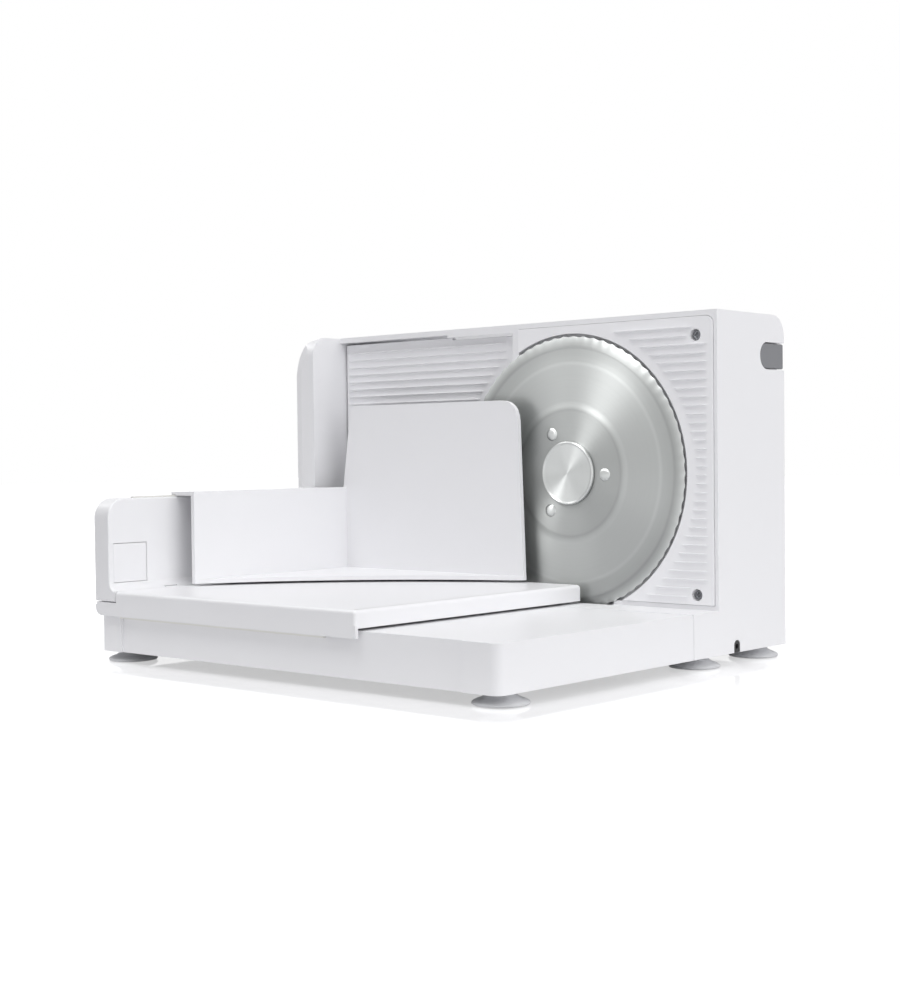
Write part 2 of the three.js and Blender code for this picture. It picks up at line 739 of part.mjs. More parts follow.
function coverHoles(door) {
  return doorScrews(door).map(([x, z]) => [x, 0, z]).flatMap((at) => [
    bar("y", screwShankRadius + gap, rearInside - overrun, coverBack, at, screwSides),
    bar("y", screwHeadRadius + gap, coverBack - screwHeadHeight - gap, coverBack + overrun, at,
      screwSides),
  ]);
}

const bushInner = shaftRadius + runningGap;
const bushOuter = bushInner + bushWall;
const rearBushFront = shaftEnd - bushLength;

function motorCover() {
  const boss = bar("y", bushOuter + gap + seatWall, rearBushFront, rearInside + overrun, atAxis,
    bushSides);
  const bore = bar("y", bushOuter + gap, rearBushFront - overrun, shaftEnd + gap, atAxis,
    bushSides);
  const middle = (rearDoors.motor[0] + rearDoors.motor[1]) / 2;
  const vents = Array.from({ length: ventCount }, (_, i) => {
    const x = middle + (i - (ventCount - 1) / 2) * ventPitch;
    return block([x - ventWidth / 2, x + ventWidth / 2], [rearInside - overrun, coverBack + overrun],
      [doorZ[0] + ventBottom, doorZ[0] + ventBottom + ventLength]);
  });
  return cut(join(coverPlate(rearDoors.motor), boss), bore, ...vents, ...coverHoles(rearDoors.motor));
}

add("motor_cover", motorCover(), white);
add("dial_cover", cut(coverPlate(rearDoors.dial),
  bar("y", spindleRadius + runningGap, rearInside - overrun, coverBack + overrun, atKnob),
  ...coverHoles(rearDoors.dial)), white);
for (const [name, door] of Object.entries(rearDoors)) {
  doorScrews(door).forEach(([x, z], i) => {
    add(`${name}_cover_screw_${i + 1}`, screw("y", coverBack - gap, 1, [x, 0, z]), zincSteel);
  });
}

const feetX = { right: bodyRight - footInset, left: -bodyLeft + footLeftInset };
const housingFeet = {
  seam_right: [feetX.right, -seamAhead + footSeamInset],
  seam_left: [feetX.left, -seamAhead + footSeamInset],
  rear_right: [feetX.right, bodyBack - footRearInset],
  rear_left: [feetX.left, bodyBack - footRearInset],
};
const tableFront = -seamAhead - tableLength;
const carriageFront = skirtAhead - tableFront; // ahead of the blade face
const tableFeet = {
  front_right: [feetX.right, tableFront + footFrontInset],
  front_left: [feetX.left, tableFront + footFrontInset],
};
const footTop = standHeight - gap;

function foot([x, y]) {
  const profile = [
    [0, 0], ...footProfileShares.map(([r, h]) => [footRadius * r, footTop * h]),
    [footStemRadius, footTop], [footStemRadius, footTop + footStemRise], [0, footTop + footStemRise],
  ];
  return turned(profile, "z", [x, y, 0], footSides);
}

const footHole = ([x, y]) => bar("z", footStemRadius + gap, footTop - overrun,
  footTop + footStemRise + gap, [x, y, 0]);

function bottomCover() {
  const plate = block([bottomX[0] + gap, bottomX[1] - gap], [bottomY[0] + gap, bottomY[1] - gap],
    [standHeight, standHeight + coverThickness]);
  const holes = bottomScrews.map(([x, y]) => [x, y, 0]).flatMap((at) => [
    bar("z", screwShankRadius + gap, standHeight, standHeight + coverThickness + overrun, at,
      screwSides),
    bar("z", screwHeadRadius + gap, standHeight - overrun,
      standHeight + screwHeadHeight + gap + gap, at, screwSides),
  ]);
  return cut(plate, ...holes, ...Object.values(housingFeet).map(footHole));
}

add("bottom_cover", bottomCover(), lightGrey);
bottomScrews.forEach(([x, y], i) => {
  add(`bottom_cover_screw_${i + 1}`, screw("z", standHeight + gap, -1, [x, y, 0]), zincSteel);
});
for (const [name, at] of Object.entries({ ...housingFeet, ...tableFeet })) {
  add("foot_" + name, foot(at), midGrey);
}

// Blade and its drive

const rivetPlaces = Array.from({ length: rivetCount }, (_, i) => {
  const angle = rad(rivetPhase + (i * 360) / rivetCount);
  return [rivetCircle * Math.cos(angle), 0, axisHeight + rivetCircle * Math.sin(angle)];
});

function bladeDisc() {
  const bevelInner = bladeRadius - bevelWidth;
  const profile = [
    [bushInner, 0], [dishRadius, 0], [dishRadius + dishRun, dishDrop], [bevelInner, dishDrop],
    [bladeRadius, dishDrop + bevelDrop], [bladeRadius, bladeThickness], [bushInner, bladeThickness],
    [bushInner, 0],
  ];
  const holes = rivetPlaces.map((at) =>
    bar("y", rivetRadius + gap, -overrun, bladeThickness + overrun, at, screwSides));
  return cut(turned(profile, "y", atAxis, bladeSides), ...holes);
}

add("blade", bladeDisc(), steel);

const flangeFront = bladeThickness + gap;

function bladeShaft() {
  const profile = [
    [0, -shaftStub], [shaftRadius, -shaftStub], [shaftRadius, flangeFront], [flangeRadius, flangeFront],
    [flangeRadius, flangeFront + flangeThickness], [shaftRadius, flangeFront + flangeThickness],
    [shaftRadius, shaftEnd], [0, shaftEnd],
  ];
  const holes = rivetPlaces.map((at) =>
    bar("y", rivetRadius + gap, flangeFront - overrun, flangeFront + flangeThickness + overrun, at,
      screwSides));
  return cut(turned(profile, "y", atAxis, bushSides), ...holes);
}

add("blade_shaft", bladeShaft(), zincSteel);

function hubCap() {
  const front = -gap - capHeight;
  const inner = capRadius - capRimWidth;
  const recess = shaftRadius + gap;
  const profile = [
    [0, front + capRimRise], [inner, front + capRimRise], [inner + capRimRise, front],
    [capRadius - capRimRise, front], [capRadius, front + capRimRise], [capRadius, -gap],
    [recess, -gap], [recess, -shaftStub - gap], [0, -shaftStub - gap],
  ];
  return turned(profile, "y", atAxis, bladeSides / 2);
}

add("hub_cap", hubCap(), steel);
rivetPlaces.forEach((at, i) => {
  const head = bar("y", rivetHeadRadius, -gap - rivetHeadRise, -gap, at);
  const shank = bar("y", rivetRadius, -gap - rivetHeadRise / 2, flangeFront + flangeThickness, at,
    screwSides);
  add(`blade_rivet_${i + 1}`, join(head, shank), steel);
});

const pitch = Math.PI * gearModule;
const pitchRadius = (gearModule * gearTeeth) / 2;
const rootDrop = gearModule * rootDropShare;
const leadSlope = pitch / (2 * Math.PI * wormRadius);

// One ring of the gear's outline, turned by `twist` about the Y axis.
function gearRing(y, twist) {
  const points = [];
  for (let tooth = 0; tooth < gearTeeth; tooth++) {
    const middle = (tooth * 2 * Math.PI) / gearTeeth + twist;
    const corner = (height, side) => {
      const share = gearToothShare / 2 - (flankShare * height) / gearModule;
      const angle = middle + (side * share * pitch) / pitchRadius;
      const r = pitchRadius + height;
      points.push([r * Math.cos(angle), y, axisHeight + r * Math.sin(angle)]);
    };
    corner(-rootDrop, -1);
    corner(gearModule, -1);
    corner(gearModule, 1);
    corner(-rootDrop, 1);
  }
  return points;
}

// Ends of a ring of points that lie round the axis: a fan from one extra middle point each.
function capped(rings, middles) {
  const made = skin(rings);
  const { count, last } = made;
  const low = made.positions.length / 3;
  made.positions.push(...middles[0], ...middles[1]);
  const caps = [];
  for (let j = 0; j < count; j++) {
    const next = (j + 1) % count;
    caps.push(low, next, j, low + 1, last + j, last + next);
  }
  return skinGeometry(made, caps);
}

function driveGear() {
  const ends = [gearCentre - gearWidth / 2, gearCentre + gearWidth / 2];
  const twist = (y) => (-(y - gearCentre) * leadSlope) / pitchRadius;
  const rings = [...ends].reverse().map((y) => gearRing(y, twist(y)));
  const wheel = capped(rings, [[0, ends[1], axisHeight], [0, ends[0], axisHeight]]);
  const hub = bar("y", gearHubRadius, gearCentre - gearHubLength / 2,
    gearCentre + gearHubLength / 2, atAxis, bushSides);
  const bore = bar("y", shaftRadius + gap, ends[0] - gearHubLength, ends[1] + gearHubLength,
    atAxis, bushSides);
  return cut(join(wheel, hub), bore);
}

add("drive_gear", driveGear(), nylon);

const bushFront = faceSet + pocketDepth;
add("shaft_bush_front", ring("y", bushInner, bushOuter, bushFront, bushFront + bushLength, atAxis,
  bushSides), zincSteel);
add("shaft_bush_rear", ring("y", bushInner, bushOuter, rearBushFront, shaftEnd, atAxis, bushSides),
  zincSteel);

// Motor, worm and bracket

const motorX = pitchRadius + wormRadius;
const motorBottom = standHeight + coverThickness + motorFloorGap;
const motorTop = motorBottom + motorHeight;
const atMotor = [motorX, gearCentre, 0];
const plateZ = motorTop + gap;
const armZ0 = axisHeight + bracketArmRise;
const shaftBottom = motorTop - motorShaftDepth + gap;
const shaftTop = armZ0 + bracketThickness + wormTop;

const shaftHole = wormShaftRadius + runningGap;
add("motor", cut(bar("z", motorRadius, motorBottom, motorTop, atMotor, motorSides),
  bar("z", shaftHole, motorTop - motorShaftDepth, motorTop + overrun, atMotor)), zincSteel);

function motorBracket() {
  const plate = block([bracketLeft, rightInside - gap], [bracketFront, bracketBack],
    [plateZ, plateZ + bracketThickness]);
  const armZ = [armZ0, armZ0 + bracketThickness];
  const halfPost = bracketPostDepth / 2;
  const post = block([bracketPostX, bracketPostX + bracketPostWidth],
    [gearCentre - halfPost, gearCentre + halfPost], [plateZ + bracketThickness / 2, armZ[1]]);
  const halfArm = bracketArmDepth / 2;
  const arm = block([motorX - halfArm, bracketPostX + bracketPostWidth / 2],
    [gearCentre - halfArm, gearCentre + halfArm], armZ);
  const bore = bar("z", shaftHole, plateZ - overrun, armZ[1] + overrun, atMotor);
  return cut(join(plate, post, arm), bore);
}

add("motor_bracket", motorBracket(), zincSteel);

function wormShaft() {
  const span = pitch * wormTurns;
  const root = wormRadius - rootDrop;
  const tip = wormRadius + gearModule - runningGap;
  const corner = (r, share, angle, z) =>
    [motorX + r * Math.cos(angle), gearCentre + r * Math.sin(angle), z + share * pitch];
  const steps = wormTurns * wormStepsPerTurn;
  const rings = [];
  for (let i = 0; i <= steps; i++) {
    const angle = (i / steps - 1 / 2) * wormTurns * 2 * Math.PI;
    const z = axisHeight + (angle / (2 * Math.PI)) * pitch;
    const inner = wormThreadShare / 2 + flankShare * (rootDrop / gearModule) + flankShare / 2;
    const outer = wormThreadShare / 2 - flankShare;
    const deep = root - gearModule / 4;
    rings.push([corner(deep, -inner, angle, z), corner(tip, -outer, angle, z),
      corner(tip, outer, angle, z), corner(deep, inner, angle, z)]);
  }
  const core = bar("z", root, axisHeight - (span + pitch) / 2, axisHeight + (span + pitch) / 2,
    atMotor, rodSides);
  const shaft = bar("z", wormShaftRadius, shaftBottom, shaftTop, atMotor, rodSides);
  return join(shaft, core, sweep(rings));
}

add("worm_shaft", wormShaft(), zincSteel);

// Switch at the rear right edge, and the cord inlet

const buttonOuter = bodyRight - buttonInset;
const stemTip = bodyRight - buttonPocketDepth - pocketFloor - buttonTravel;
const stemY = [buttonFront + wall, buttonFront + wall + stemLength];

function switchButton() {
  const plate = slab(buttonShape(gap), "x", buttonOuter - buttonThickness, buttonOuter);
  const stem = block([stemTip, buttonOuter - buttonThickness / 2], stemY,
    [buttonMid - stemHeight / 2, buttonMid + stemHeight / 2]);
  return join(plate, stem);
}

add("switch_button", switchButton(), midGrey);
const switchRight = stemTip - buttonTravel - gap;
add("switch_body", block([switchRight - switchDepth, switchRight],
  [rearInside - gap - switchLength, rearInside - gap],
  [buttonMid - stemHeight / 2, buttonMid + stemHeight / 2]), darkGrey);

function cordGrommet() {
  const half = inletWidth / 2 - gap;
  const shape = plateShape([inletY - half, inletY + half],
    [standHeight + gap, standHeight + inletHeight - gap], [0, 0, half - gap, half - gap]);
  const middle = [0, inletY, standHeight + inletHeight / 2];
  const hole = bar("x", half - grommetWall, rightInside, bodyRight, middle, screwSides);
  return cut(slab(shape, "x", rightInside + gap, bodyRight - gap), hole);
}

add("cord_grommet", cordGrommet(), darkGrey);

// Thickness fence, its carrier, guide rods, barrel cam and knob

const fenceX = [towerRight + fenceSideGap, -postLeft - fenceSideGap];
const fenceZ = [deck + fenceBottomGap, roof - roofWall - fenceTopGap];
const fenceRear = fenceSet + fenceThickness;

function fencePlate() {
  const plate = slab(ribbedShape(fenceSet, fenceRear, fenceZ), "x", ...fenceX);
  const through = [fenceSet - ribRise - overrun, fenceRear + overrun];
  const step = block([-roofStepX - gap, fenceX[1] + overrun], through,
    [fenceZ[1] - roofStepDrop, fenceZ[1] + overrun]);
  return cut(plate, step, bladeOpening(...through));
}

add("fence_plate", fencePlate(), lightGrey);

const carrierFront = fenceRear + gap;
const carrierX = [-mechanismX - carrierWidth / 2, -mechanismX + carrierWidth / 2];
const rodFront = carrierFront + wall;
const camPinY = drumMiddle - fenceTravel / 2 + fenceBack;
const armTop = knobHeight - drumRadius - gap;

function fenceCarrier() {
  const back = carrierFront + carrierDepth;
  const plate = block(carrierX, [carrierFront, back], [deck + carrierRise, roof - carrierDrop]);
  const arm = block([-mechanismX - armSize / 2, -mechanismX + armSize / 2],
    [back - overrun, camPinY + armSize / 2], [armTop - armSize, armTop]);
  const pin = bar("z", pinRadius, armTop - overrun, knobHeight - drumRadius + grooveDepth - gap,
    [-mechanismX, camPinY, 0], screwSides);
  const sockets = Object.values(rodPlaces).map((at) =>
    bar("y", rodRadius + gap, rodFront - gap, back + overrun, at));
  return cut(join(plate, arm, pin), ...sockets);
}

add("fence_carrier", fenceCarrier(), nylon);
for (const [name, at] of Object.entries(rodPlaces)) {
  add("fence_rod_" + name, bar("y", rodRadius, rodFront, rodFront + rodLength, at), zincSteel);
}

const travelPerDegree = 1 / turnPerTravel;
const knobFace = bodyBack + gap;
const spindleEnd = knobFace + knobDepth / 2;

// A point on the drum at `turn` degrees about +Y from straight down.
function drumPoint(radius, turn, y) {
  return [-mechanismX - radius * Math.sin(rad(turn)), y, knobHeight - radius * Math.cos(rad(turn))];
}

function camDrum() {
  const slope = ((travelPerDegree * 180) / Math.PI) / (drumRadius - grooveDepth);
  const half = (pinRadius + pinClearance) * Math.hypot(1, slope);
  const first = -(fenceTravel - fenceBack) * turnPerTravel - grooveMargin;
  const last = fenceBack * turnPerTravel + grooveMargin;
  const steps = Math.round((last - first) / grooveStep);
  const rings = [];
  for (let i = 0; i <= steps; i++) {
    const turn = first + ((last - first) * i) / steps;
    const y = camPinY - turn * travelPerDegree;
    const deep = drumRadius - grooveDepth;
    const outside = drumRadius + overrun;
    rings.push([drumPoint(deep, turn, y - half), drumPoint(outside, turn, y - half),
      drumPoint(outside, turn, y + half), drumPoint(deep, turn, y + half)]);
  }
  const drum = bar("y", drumRadius, drumFront, drumBack, atKnob, bushSides);
  const spindle = bar("y", spindleRadius, columnFace + gap + gap, spindleEnd, atKnob);
  return join(cut(drum, sweep(rings)), spindle);
}

add("cam_drum", camDrum(), nylon);

function thicknessKnob() {
  const steps = knobFlutes * stepsPerFlute;
  const points = Array.from({ length: steps }, (_, i) => {
    const angle = (i / steps) * 2 * Math.PI;
    const r = knobRadius - (knobFluteDepth * (1 + Math.cos(knobFlutes * angle))) / 2;
    return [-mechanismX + r * Math.cos(angle), knobHeight + r * Math.sin(angle)];
  });
  const grip = slab(outline(points), "y", knobFace, knobFace + knobDepth);
  const pointer = block([-mechanismX - pointerWidth / 2, -mechanismX + pointerWidth / 2],
    [knobFace + knobDepth - overrun, knobFace + knobDepth + pointerRise],
    [knobHeight, knobHeight + knobRadius - knobFluteDepth - pointerWidth]);
  const bore = bar("y", spindleRadius + gap, knobFace - overrun, spindleEnd + gap, atKnob);
  return cut(join(grip, pointer), bore);
}

add("thickness_knob", thicknessKnob(), midGrey);

// Table, with a rounded rear edge about the hinge pins

const tableRear = hingeY + hingeRadius;

function tableBody() {
  const top = slab(plateShape([-tableLeft, bodyRight], [tableFront, hingeY],
    [tableCornerRadius, tableCornerRadius, 0, 0]), "z", standHeight, deck);
  const rear = block([-tableLeft, bodyRight], [hingeY - overrun, tableRear], [standHeight, hingeZ]);
  const edge = bar("x", hingeRadius, -tableLeft, bodyRight, atHinge, bushSides);
  const cavity = block([-tableLeft + wall, bodyRight - wall], [tableFront + wall, tableRear - wall],
    [standHeight - overrun, deck - tableFloorWall]);
  const recess = block([-tableLeft + tableLeftBlock, bodyRight - tableRightBlock],
    [tableFront - overrun, tableFront + tableRecess], [standHeight - overrun, deck + overrun]);
  const bosses = Object.values(tableFeet).map(([x, y]) =>
    bar("z", footBossRadius, standHeight, deck - overrun, [x, y, 0], rodSides));
  const notches = hingeStations.flatMap((x) => {
    const half = knuckleWidth / 2 + gap;
    const clear = hingeRadius + seamGap;
    return [
      bar("x", clear, x - half, x + half, atHinge, bushSides),
      block([x - half, x + half], [hingeY, tableRear + overrun], [hingeZ - clear, deck + overrun]),
      bar("x", hingePinRadius + gap, x - hingePinLength / 2 - gap, x + hingePinLength / 2 + gap,
        atHinge, screwSides),
    ];
  });
  return cut(join(cut(join(top, rear, edge), cavity, recess), ...bosses), ...notches,
    ...Object.values(tableFeet).map(footHole));
}

add("table", tableBody(), white);
hingeStations.forEach((x, i) => {
  add(["hinge_pin_left", "hinge_pin_right"][i], bar("x", hingePinRadius, x - hingePinLength / 2,
    x + hingePinLength / 2, atHinge, screwSides), zincSteel);
});

// Carriage: the plate and the runner that carries it along the table's front edge

const carriageTop = deck + carriageRise;
const wallTop = carriageTop + wallRise;
const wallSeam = carriageTop - wallSeamDrop;
const skirtBottom = deck - skirtDrop;
const recessFace = tableFront + tableRecess;
const skirtInner = -carriageFront + skirtThickness;
const wallInner = -tableLeft + wallThickness;
const wallToe = wallInner + filletRadius;
const wallRear = -seamAhead - towerClearance;
const wallPinX = wallToe - wallPinOffset;
const wallPinZ = carriageTop - wallPinOffset;
const ears = [-carriageFront + earInset, wallRear - earInset];

add("carriage_runner", block([-tableLeft + tableLeftBlock + gap,
  -tableLeft + tableLeftBlock + gap + runnerLength],
  [recessFace - gap - runnerThickness, recessFace - gap],
  [deck - gap - gap - runnerHeight, deck - gap - gap]), midGrey);

function carriagePlate() {
  const plate = slab(plateShape([-tableLeft, carriageRight], [-carriageFront, -carriageBackAhead],
    [skirtThickness, skirtThickness, skirtThickness, 0]), "z", deck + carriageGap, carriageTop);
  const skirt = slab(plateShape([-tableLeft, carriageRight], [skirtBottom, deck + carriageWall],
    [filletRadius, gap, 0, 0]), "y", -carriageFront, skirtInner);
  const cavity = block([wallToe, carriageRight - carriageWall],
    [-carriageFront + carriageWall, -carriageBackAhead - carriageWall],
    [deck - overrun, carriageTop - carriageWall]);
  const pocket = block([-tableLeft - overrun, wallToe + seamClearance],
    [-carriageFront - overrun, wallRear], [wallSeam - seamSlot, carriageTop + overrun]);
  const towerNotch = block([-tableLeft - overrun, towerRight + towerClearance], [wallRear, overrun],
    [standHeight, carriageTop + overrun]);
  const earBlocks = ears.flatMap((y) => [
    bar("y", earRadius, y - earWidth / 2, y + earWidth / 2, [wallPinX, 0, wallPinZ]),
    block([wallPinX - earRadius, wallToe + seamClearance + overrun],
      [y - earWidth / 2, y + earWidth / 2], [wallSeam - seamSlot - overrun, wallPinZ]),
  ]);
  const holes = ears.map((y) => bar("y", wallPinRadius + gap, y - earWidth, y + earWidth,
    [wallPinX, 0, wallPinZ], screwSides));
  return cut(join(cut(join(plate, skirt), cavity, pocket, towerNotch), ...earBlocks), ...holes);
}

add("carriage_plate", carriagePlate(), white);

function carriageWallShape() {
  const shape = new THREE.Shape();
  shape.moveTo(-tableLeft, wallSeam);
  shape.lineTo(wallToe, wallSeam);
  shape.lineTo(wallToe, carriageTop);
  shape.absarc(wallToe, carriageTop + filletRadius, filletRadius, -Math.PI / 2, -Math.PI, true);
  shape.lineTo(wallInner, wallTop);
  shape.lineTo(-tableLeft, wallTop);
  shape.closePath();
  return shape;
}

const latchY = [-carriageFront + latchInset, -carriageFront + latchInset + latchWidth];
const latchBottom = carriageTop + latchRise;
const latchTop = latchBottom + latchHeight;
const latchFace = wallInner - gap / 2;
const grooveRight = wallInner - grooveLip;

function carriageWallBody() {
  const bodySolid = slab(carriageWallShape(), "y", -carriageFront, wallRear);
  const across = [-tableLeft - overrun, wallToe + overrun];
  const corner = cut(
    block(across, [-carriageFront - overrun, -carriageFront + wallEdgeRadius],
      [wallTop - wallEdgeRadius, wallTop + overrun]),
    bar("x", wallEdgeRadius, across[0] - overrun, across[1] + overrun,
      [0, -carriageFront + wallEdgeRadius, wallTop - wallEdgeRadius], bladeSides / 2),
  );
  const pocketX = [latchFace - latchThickness - latchTravel - gap, wallInner + filletRadius / 2];
  const latchPocket = block(pocketX, [latchY[0] - gap, latchY[1] + gap],
    [latchBottom - gap, latchTop + gap]);
  const groove = block([grooveRight - grooveWidth, grooveRight],
    [-carriageFront + wallEdgeRadius + grooveEnds, wallRear - grooveEnds],
    [wallTop - grooveDepthInWall, wallTop + overrun]);
  const clear = earRadius + seamGap;
  const earNotches = ears.flatMap((y) => {
    const span = [y - earWidth / 2 - gap, y + earWidth / 2 + gap];
    return [
      bar("y", clear, ...span, [wallPinX, 0, wallPinZ]),
      block([wallPinX - clear, wallToe + overrun], span, [wallSeam - overrun, carriageTop + clear / 3]),
    ];
  });
  const pinHole = bar("y", wallPinRadius + gap, -carriageFront + grooveEnds - gap,
    wallRear - grooveEnds + gap, [wallPinX, 0, wallPinZ], screwSides);
  return cut(bodySolid, corner, latchPocket, groove, pinHole, ...earNotches);
}

add("carriage_wall", carriageWallBody(), white);
add("wall_pin", bar("y", wallPinRadius, -carriageFront + grooveEnds, wallRear - grooveEnds,
  [wallPinX, 0, wallPinZ], screwSides), zincSteel);
add("wall_latch", block([latchFace - latchThickness, latchFace], latchY, [latchBottom, latchTop]),
  white);

// Pusher: it hangs on a rail in the wall's top and slides along it

const railX = [grooveRight - gap - railWidth, grooveRight - gap];
const railBottom = wallTop - grooveDepthInWall + gap;
const railY = [-carriageFront + wallEdgeRadius + grooveEnds + railEndGap,
  wallRear - grooveEnds - railEndGap];
add("pusher_rail", block(railX, railY, [railBottom, wallTop + railRise]), midGrey);

const legInner = tableLeft - legSet; // left of the blade axis
const legFront = carriageFront - legSetBack; // ahead of the blade face
const legX = [-legInner - sheet, -legInner];
const plateTop = carriageTop + plateRise;
const pusherBottom = carriageTop + pusherGap;
const hookZ = [wallTop + hookGap, wallTop + hookGap + hookThickness];
const plateY = [-plateAhead, -plateAhead + sheet];

function pusherPlateShape() {
  const shape = new THREE.Shape();
  const lean = plateDraft / (plateTop - pusherBottom);
  const topRight = -plateRight - plateDraft;
  shape.moveTo(legX[0], pusherBottom);
  shape.lineTo(-plateRight, pusherBottom);
  shape.lineTo(topRight + plateCornerRadius * lean, plateTop - plateCornerRadius);
  shape.quadraticCurveTo(topRight, plateTop, topRight - plateCornerRadius, plateTop);
  shape.lineTo(legX[0] + plateLeftDraft, plateTop);
  shape.lineTo(legX[0], hookZ[1]);
  shape.closePath();
  return shape;
}

// The floor fills the corner between plate and leg, and its front edge is a hollow curve.
function pusherFloorShape() {
  const draw = (corner, end) => corner + (end - corner) * floorDrawShare;
  const shape = new THREE.Shape();
  shape.moveTo(legX[0], plateY[1]);
  shape.lineTo(legX[0], -legFront);
  shape.lineTo(legX[1], -legFront);
  shape.quadraticCurveTo(draw(legX[1], -plateRight), draw(plateY[0], -legFront), -plateRight,
    plateY[0]);
  shape.lineTo(-plateRight, plateY[1]);
  shape.closePath();
  return shape;
}

function pusherBody() {
  const plate = slab(pusherPlateShape(), "y", ...plateY);
  const leg = block(legX, [-legFront, plateY[1]], [pusherBottom, hookZ[1]]);
  const hook = block([-legInner - hookReach, legX[1]], [-legFront, wallRear - sheet], hookZ);
  const floor = slab(pusherFloorShape(), "z", pusherBottom, pusherBottom + pusherFloor,
    pusherFloorSteps);
  const slot = block([railX[0] - gap, railX[1] + gap], [-legFront - overrun, wallRear],
    [wallTop, wallTop + railRise + gap]);
  return cut(join(plate, leg, hook, floor), slot);
}

add("pusher", pusherBody(), white);

// The origin goes to the bottom centre of the whole slicer's box
const boxBack = knobFace + knobDepth + pointerRise;
const boxRight = Math.max(bodyRight, feetX.right + footRadius);
slicer.position.set((bodyLeft - boxRight) / 2, (carriageFront - boxBack) / 2, 0);
const part = new THREE.Group();
part.add(slicer);

export default part;
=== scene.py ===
"""Dresses the folding food slicer: moulded plastic, ground steel, rubber feet and its studio."""

from __future__ import annotations

import json
import logging
import math
from collections.abc import Iterable, Sequence
from dataclasses import dataclass
from enum import Enum
from typing import Any

import bmesh
import bpy
from mathutils import Matrix, Vector

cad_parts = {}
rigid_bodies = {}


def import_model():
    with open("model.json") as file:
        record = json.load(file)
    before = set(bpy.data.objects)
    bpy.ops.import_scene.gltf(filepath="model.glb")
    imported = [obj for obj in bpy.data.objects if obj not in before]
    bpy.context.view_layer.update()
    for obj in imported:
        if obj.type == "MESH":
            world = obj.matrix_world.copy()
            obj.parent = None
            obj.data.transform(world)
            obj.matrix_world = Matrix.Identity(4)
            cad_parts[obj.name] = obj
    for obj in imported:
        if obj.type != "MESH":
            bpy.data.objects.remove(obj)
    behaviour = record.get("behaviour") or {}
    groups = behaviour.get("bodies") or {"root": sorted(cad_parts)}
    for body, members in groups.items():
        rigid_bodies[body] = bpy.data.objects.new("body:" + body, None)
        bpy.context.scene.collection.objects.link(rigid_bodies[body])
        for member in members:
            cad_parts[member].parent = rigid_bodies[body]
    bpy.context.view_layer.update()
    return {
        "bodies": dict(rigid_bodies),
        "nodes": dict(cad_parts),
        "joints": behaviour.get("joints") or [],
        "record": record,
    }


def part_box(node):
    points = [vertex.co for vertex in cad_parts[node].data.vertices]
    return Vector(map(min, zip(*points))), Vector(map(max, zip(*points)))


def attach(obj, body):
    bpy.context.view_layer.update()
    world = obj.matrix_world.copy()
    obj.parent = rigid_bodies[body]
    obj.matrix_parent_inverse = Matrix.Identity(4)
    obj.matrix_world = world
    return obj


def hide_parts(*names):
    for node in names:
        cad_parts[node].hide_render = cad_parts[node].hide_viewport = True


LOG = logging.getLogger("slicer")
MM = 0.001

# The middle of the blade's front and the knob's axis in the part's own frame, in metres
BLADE_AXIS = Vector((0.0565, 0.0541, 0.1132))
KNOB_AXIS = Vector((-0.137, 0.0, 0.12))
# The panel and the fence are both cut to this radius about the blade
OPENING_MM = 86.5
# The ribs of their CAD solids stand this far in front of their faces
CAD_RIB_MM = 1.0
# A face counts as smooth with its neighbour up to this turn, in degrees
SMOOTH_UNDER = 35.0
# Points of a built mesh and of a CAD mesh that lie closer than this are one, in metres
SAME_POINT = 1e-7
SAME_CAD_POINT = 2e-6

Pair = tuple[float, float]
Triple = tuple[float, float, float]
Box = tuple[Sequence[float], Sequence[float]]


class Side(Enum):
    """Which way the head of a fastener faces, as Euler angles from a head that faces the front."""

    FRONT = (0.0, 0.0, 0.0)
    BACK = (0.0, 0.0, math.pi)
    UNDER = (math.pi / 2, 0.0, 0.0)


class Slot(Enum):
    """The record's material slots, named for each new piece."""

    WHITE = "white_plastic"
    LIGHT_GREY = "light_grey_plastic"
    GREY = "grey_plastic"
    RUBBER = "grey_rubber"
    STEEL = "polished_steel"
    ZINC = "zinc_steel"


# Colours and nodes


def linear(code: str) -> tuple[float, float, float, float]:
    """Turns a colour from sRGB hex to linear.

    Args:
        code: the colour, such as "#f2f2f3".

    Returns:
        Red, green, blue and alpha, linear.
    """
    channels = [int(code[i : i + 2], 16) / 255 for i in (1, 3, 5)]
    red, green, blue = (
        c / 12.92 if c <= 0.04045 else ((c + 0.055) / 1.055) ** 2.4 for c in channels
    )
    return red, green, blue, 1.0


def add_node(
    tree: bpy.types.NodeTree,
    kind: str,
    links: dict[str | int, Any] | None = None,
    **settings: Any,
) -> bpy.types.Node:
    """Adds a node with its settings, values and links.

    Args:
        tree: the node tree.
        kind: the node's type.
        links: for each input a value, a socket, or a node that stands for its first output.
        settings: attributes of the node, which are set first.

    Returns:
        The new node.
    """
    node = tree.nodes.new(kind)
    for key, value in settings.items():
        setattr(node, key, value)
    for key, value in (links or {}).items():
        if isinstance(value, bpy.types.Node):
            tree.links.new(value.outputs[0], node.inputs[key])
        elif isinstance(value, bpy.types.NodeSocket):
            tree.links.new(value, node.inputs[key])
        else:
            node.inputs[key].default_value = value
    return node


def new_material(name: str) -> tuple[bpy.types.Material, bpy.types.NodeTree]:
    """Makes an empty material with nodes.

    Args:
        name: the finish's name.

    Returns:
        The material and its emptied tree.
    """
    material = bpy.data.materials.new(name)
    material.use_nodes = True
    material.node_tree.nodes.clear()
    return material, material.node_tree


